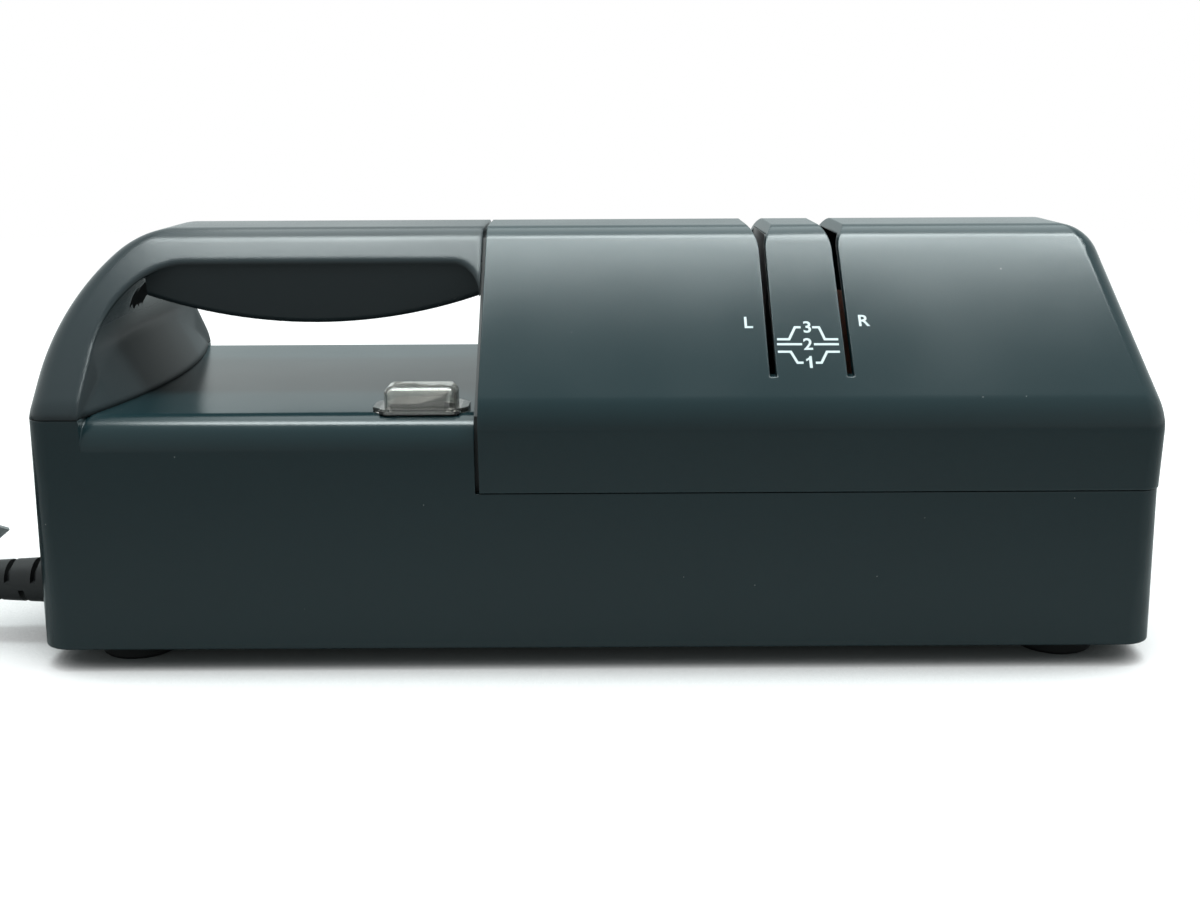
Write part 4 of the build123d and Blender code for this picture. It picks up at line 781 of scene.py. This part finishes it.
def guide_line(points, width, ink):
    """A printed line: a flat ribbon of one width along a path, with mitred corners.

    Each corner is shifted sideways by half the width over the cosine of half the turn.
    The section is a closed rectangle from just under the shell to the ink's face.
    """
    path = np.asarray(points, float)
    run = np.diff(path, axis=0)
    run /= np.linalg.norm(run, axis=1, keepdims=True)
    before = np.vstack([run[:1], run])
    after = np.vstack([run, run[-1:]])
    middle = before + after
    middle /= np.linalg.norm(middle, axis=1, keepdims=True)
    side = np.stack([-middle[:, 1], middle[:, 0]], axis=-1)
    side /= np.sum(middle * before, axis=1, keepdims=True)
    edges = np.stack([path - side * width / 2, path + side * width / 2], axis=1)
    low, high = np.full((len(path), 1), -ROOTED), np.full((len(path), 1), ink)
    rings = np.stack([np.hstack([edges[:, 0], low]), np.hstack([edges[:, 0], high]),
                      np.hstack([edges[:, 1], high]), np.hstack([edges[:, 1], low])])
    count = len(path)
    sides = grid_faces(4, count, close_rows=True)[:, ::-1].tolist()
    start = [0, count, 2 * count, 3 * count]
    end = [3 * count + count - 1, 3 * count - 1, 2 * count - 1, count - 1]
    return rings.reshape(-1, 3), sides + [start, end]


def digit_one(height, centre, ink):
    """A bold 1 with a flag: the prism over its outline, of height 1 before it is scaled."""
    outline = np.array([(0.36, 0.0), (0.56, 0.0), (0.56, 1.0), (0.41, 1.0), (0.36, 0.88),
                        (0.27, 0.80), (0.15, 0.74), (0.15, 0.57), (0.27, 0.63), (0.36, 0.71)])
    flat = (outline - (0.4, 0.5)) * height + centre
    count = len(flat)
    rings = np.vstack([np.column_stack([flat, np.full(count, -ROOTED)]),
                       np.column_stack([flat, np.full(count, ink)])])
    here = np.arange(count)
    after = (here + 1) % count
    sides = np.stack([here, after, after + count, here + count], axis=-1)
    caps = [list(range(count - 1, -1, -1)), list(range(count, 2 * count))]
    return rings, sides.tolist() + caps


def letter_mesh(text, height, centre, ink, stroke):
    """A letter from the built-in type, thickened, made a mesh and laid on the slope."""
    face = bpy.data.curves.new("type", "FONT")
    face.body = text
    face.size = 1.0
    face.align_x = "CENTER"
    face.resolution_u = 6
    face.extrude = 0.01
    holder = bpy.data.objects.new("type", face)
    bpy.context.scene.collection.objects.link(holder)
    bpy.context.view_layer.update()
    plain = bpy.data.meshes.new_from_object(
        holder.evaluated_get(bpy.context.evaluated_depsgraph_get()))
    size = np.empty(len(plain.vertices) * 3)
    plain.vertices.foreach_get("co", size)
    tall = np.ptp(size.reshape(-1, 3)[:, 1])
    face.offset = stroke * tall / height
    bpy.context.view_layer.update()
    mesh = bpy.data.meshes.new_from_object(
        holder.evaluated_get(bpy.context.evaluated_depsgraph_get()))
    bpy.data.objects.remove(holder)
    shape = bmesh.new()
    shape.from_mesh(mesh)
    bmesh.ops.remove_doubles(shape, verts=shape.verts, dist=1e-5)
    shape.to_mesh(mesh)
    shape.free()
    co = np.empty(len(mesh.vertices) * 3)
    mesh.vertices.foreach_get("co", co)
    co = co.reshape(-1, 3)
    low, high = co.min(axis=0), co.max(axis=0)
    scale = height / (high[1] - low[1])
    flat = (co[:, :2] - (low[:2] + high[:2]) / 2) * scale + centre
    off = np.where(co[:, 2] > 0, ink, -ROOTED)
    mesh.vertices.foreach_set("co", on_slope(np.column_stack([flat, off])).ravel())
    mesh.update()
    return mesh


class SHARPENER_OT_marks(bpy.types.Operator):
    """White letters, numbers and guide lines on the front slope of the cover"""
    bl_idname = "sharpener.marks"
    bl_label = "Printed marks"

    def execute(self, context):
        sizes = context.scene.sharpener_marks
        # two-part epoxy ink, pad printed: flat white film
        ink = printed_ink("epoxy_ink_printed", context.scene.sharpener_colours.marks)
        lines = {
            "line_3_left": [(53.8, 25.67), (57.39, 25.65), (59.45, 30.0), (61.16, 29.99)],
            "line_3_right": [(64.58, 29.97), (66.6, 29.96), (67.97, 25.59), (71.93, 25.56)],
            "line_2_left": [(53.67, 23.88), (61.09, 23.83)],
            "line_2_right": [(64.59, 23.81), (71.94, 23.77)],
            "line_1_left": [(53.73, 21.18), (57.52, 21.16), (59.22, 17.25), (60.93, 17.24)],
            "line_1_right": [(64.56, 17.21), (66.24, 17.2), (68.18, 21.09), (71.97, 21.07)],
        }
        for name, path in lines.items():
            flat, faces = guide_line(path, sizes.line_width / MM, sizes.ink / MM)
            piece(name, on_slope(flat), faces, "cover", ink)
        letters = (("3", (63.08, 30.09), sizes.digit_height),
                   ("2", (62.84, 23.92), sizes.digit_height),
                   ("L", (45.76, 31.85), sizes.letter_height),
                   ("R", (80.33, 32.37), sizes.letter_height))
        flat, faces = digit_one(sizes.digit_height / MM, (62.85, 17.49), sizes.ink / MM)
        piece("mark_1", on_slope(flat), faces, "cover", ink)
        for text, centre, height in letters:
            mesh = letter_mesh(text, height / MM, centre, sizes.ink / MM, sizes.stroke / MM)
            placed("mark_" + text, mesh, "cover", ink)
        return {"FINISHED"}


class SHARPENER_PT_panel(bpy.types.Panel):
    """Lists the steps and the sizes and colours"""
    bl_label = "Sharpener"
    bl_idname = "SHARPENER_PT_panel"
    bl_space_type = "VIEW_3D"
    bl_region_type = "UI"
    bl_category = "Sharpener"

    def draw(self, context):
        for step in STEPS:
            self.layout.operator(step.bl_idname)
        for group in GROUPS:
            box = self.layout.box()
            settings = getattr(context.scene, group)
            for name in settings.bl_rna.properties.keys():
                if name not in ("rna_type", "name"):
                    box.prop(settings, name)


STEPS = (SHARPENER_OT_stage, SHARPENER_OT_lead, SHARPENER_OT_shells, SHARPENER_OT_rubber,
         SHARPENER_OT_switch, SHARPENER_OT_grinding, SHARPENER_OT_motor,
         SHARPENER_OT_hardware, SHARPENER_OT_marks)
GROUPS = {"sharpener_colours": SharpenerColours, "sharpener_marks": SharpenerMarks,
          "sharpener_lead": SharpenerLead, "sharpener_studio": SharpenerStudio}


def register():
    """Registers the classes and hangs the settings on the scene."""
    for group in (*GROUPS.values(), *STEPS, SHARPENER_PT_panel):
        bpy.utils.register_class(group)
    for name, group in GROUPS.items():
        setattr(bpy.types.Scene, name, PointerProperty(type=group))


def unregister():
    """Takes the settings and the classes away again."""
    for name in GROUPS:
        delattr(bpy.types.Scene, name)
    for group in (SHARPENER_PT_panel, *reversed(STEPS), *reversed(GROUPS.values())):
        bpy.utils.unregister_class(group)


def main():
    """Builds everything in order."""
    register()
    bpy.ops.sharpener.stage()
    bpy.ops.sharpener.lead()
    bpy.ops.sharpener.shells()
    bpy.ops.sharpener.rubber()
    bpy.ops.sharpener.switch()
    bpy.ops.sharpener.grinding()
    bpy.ops.sharpener.motor()
    bpy.ops.sharpener.hardware()
    bpy.ops.sharpener.marks()


if __name__ == "__main__":
    main()
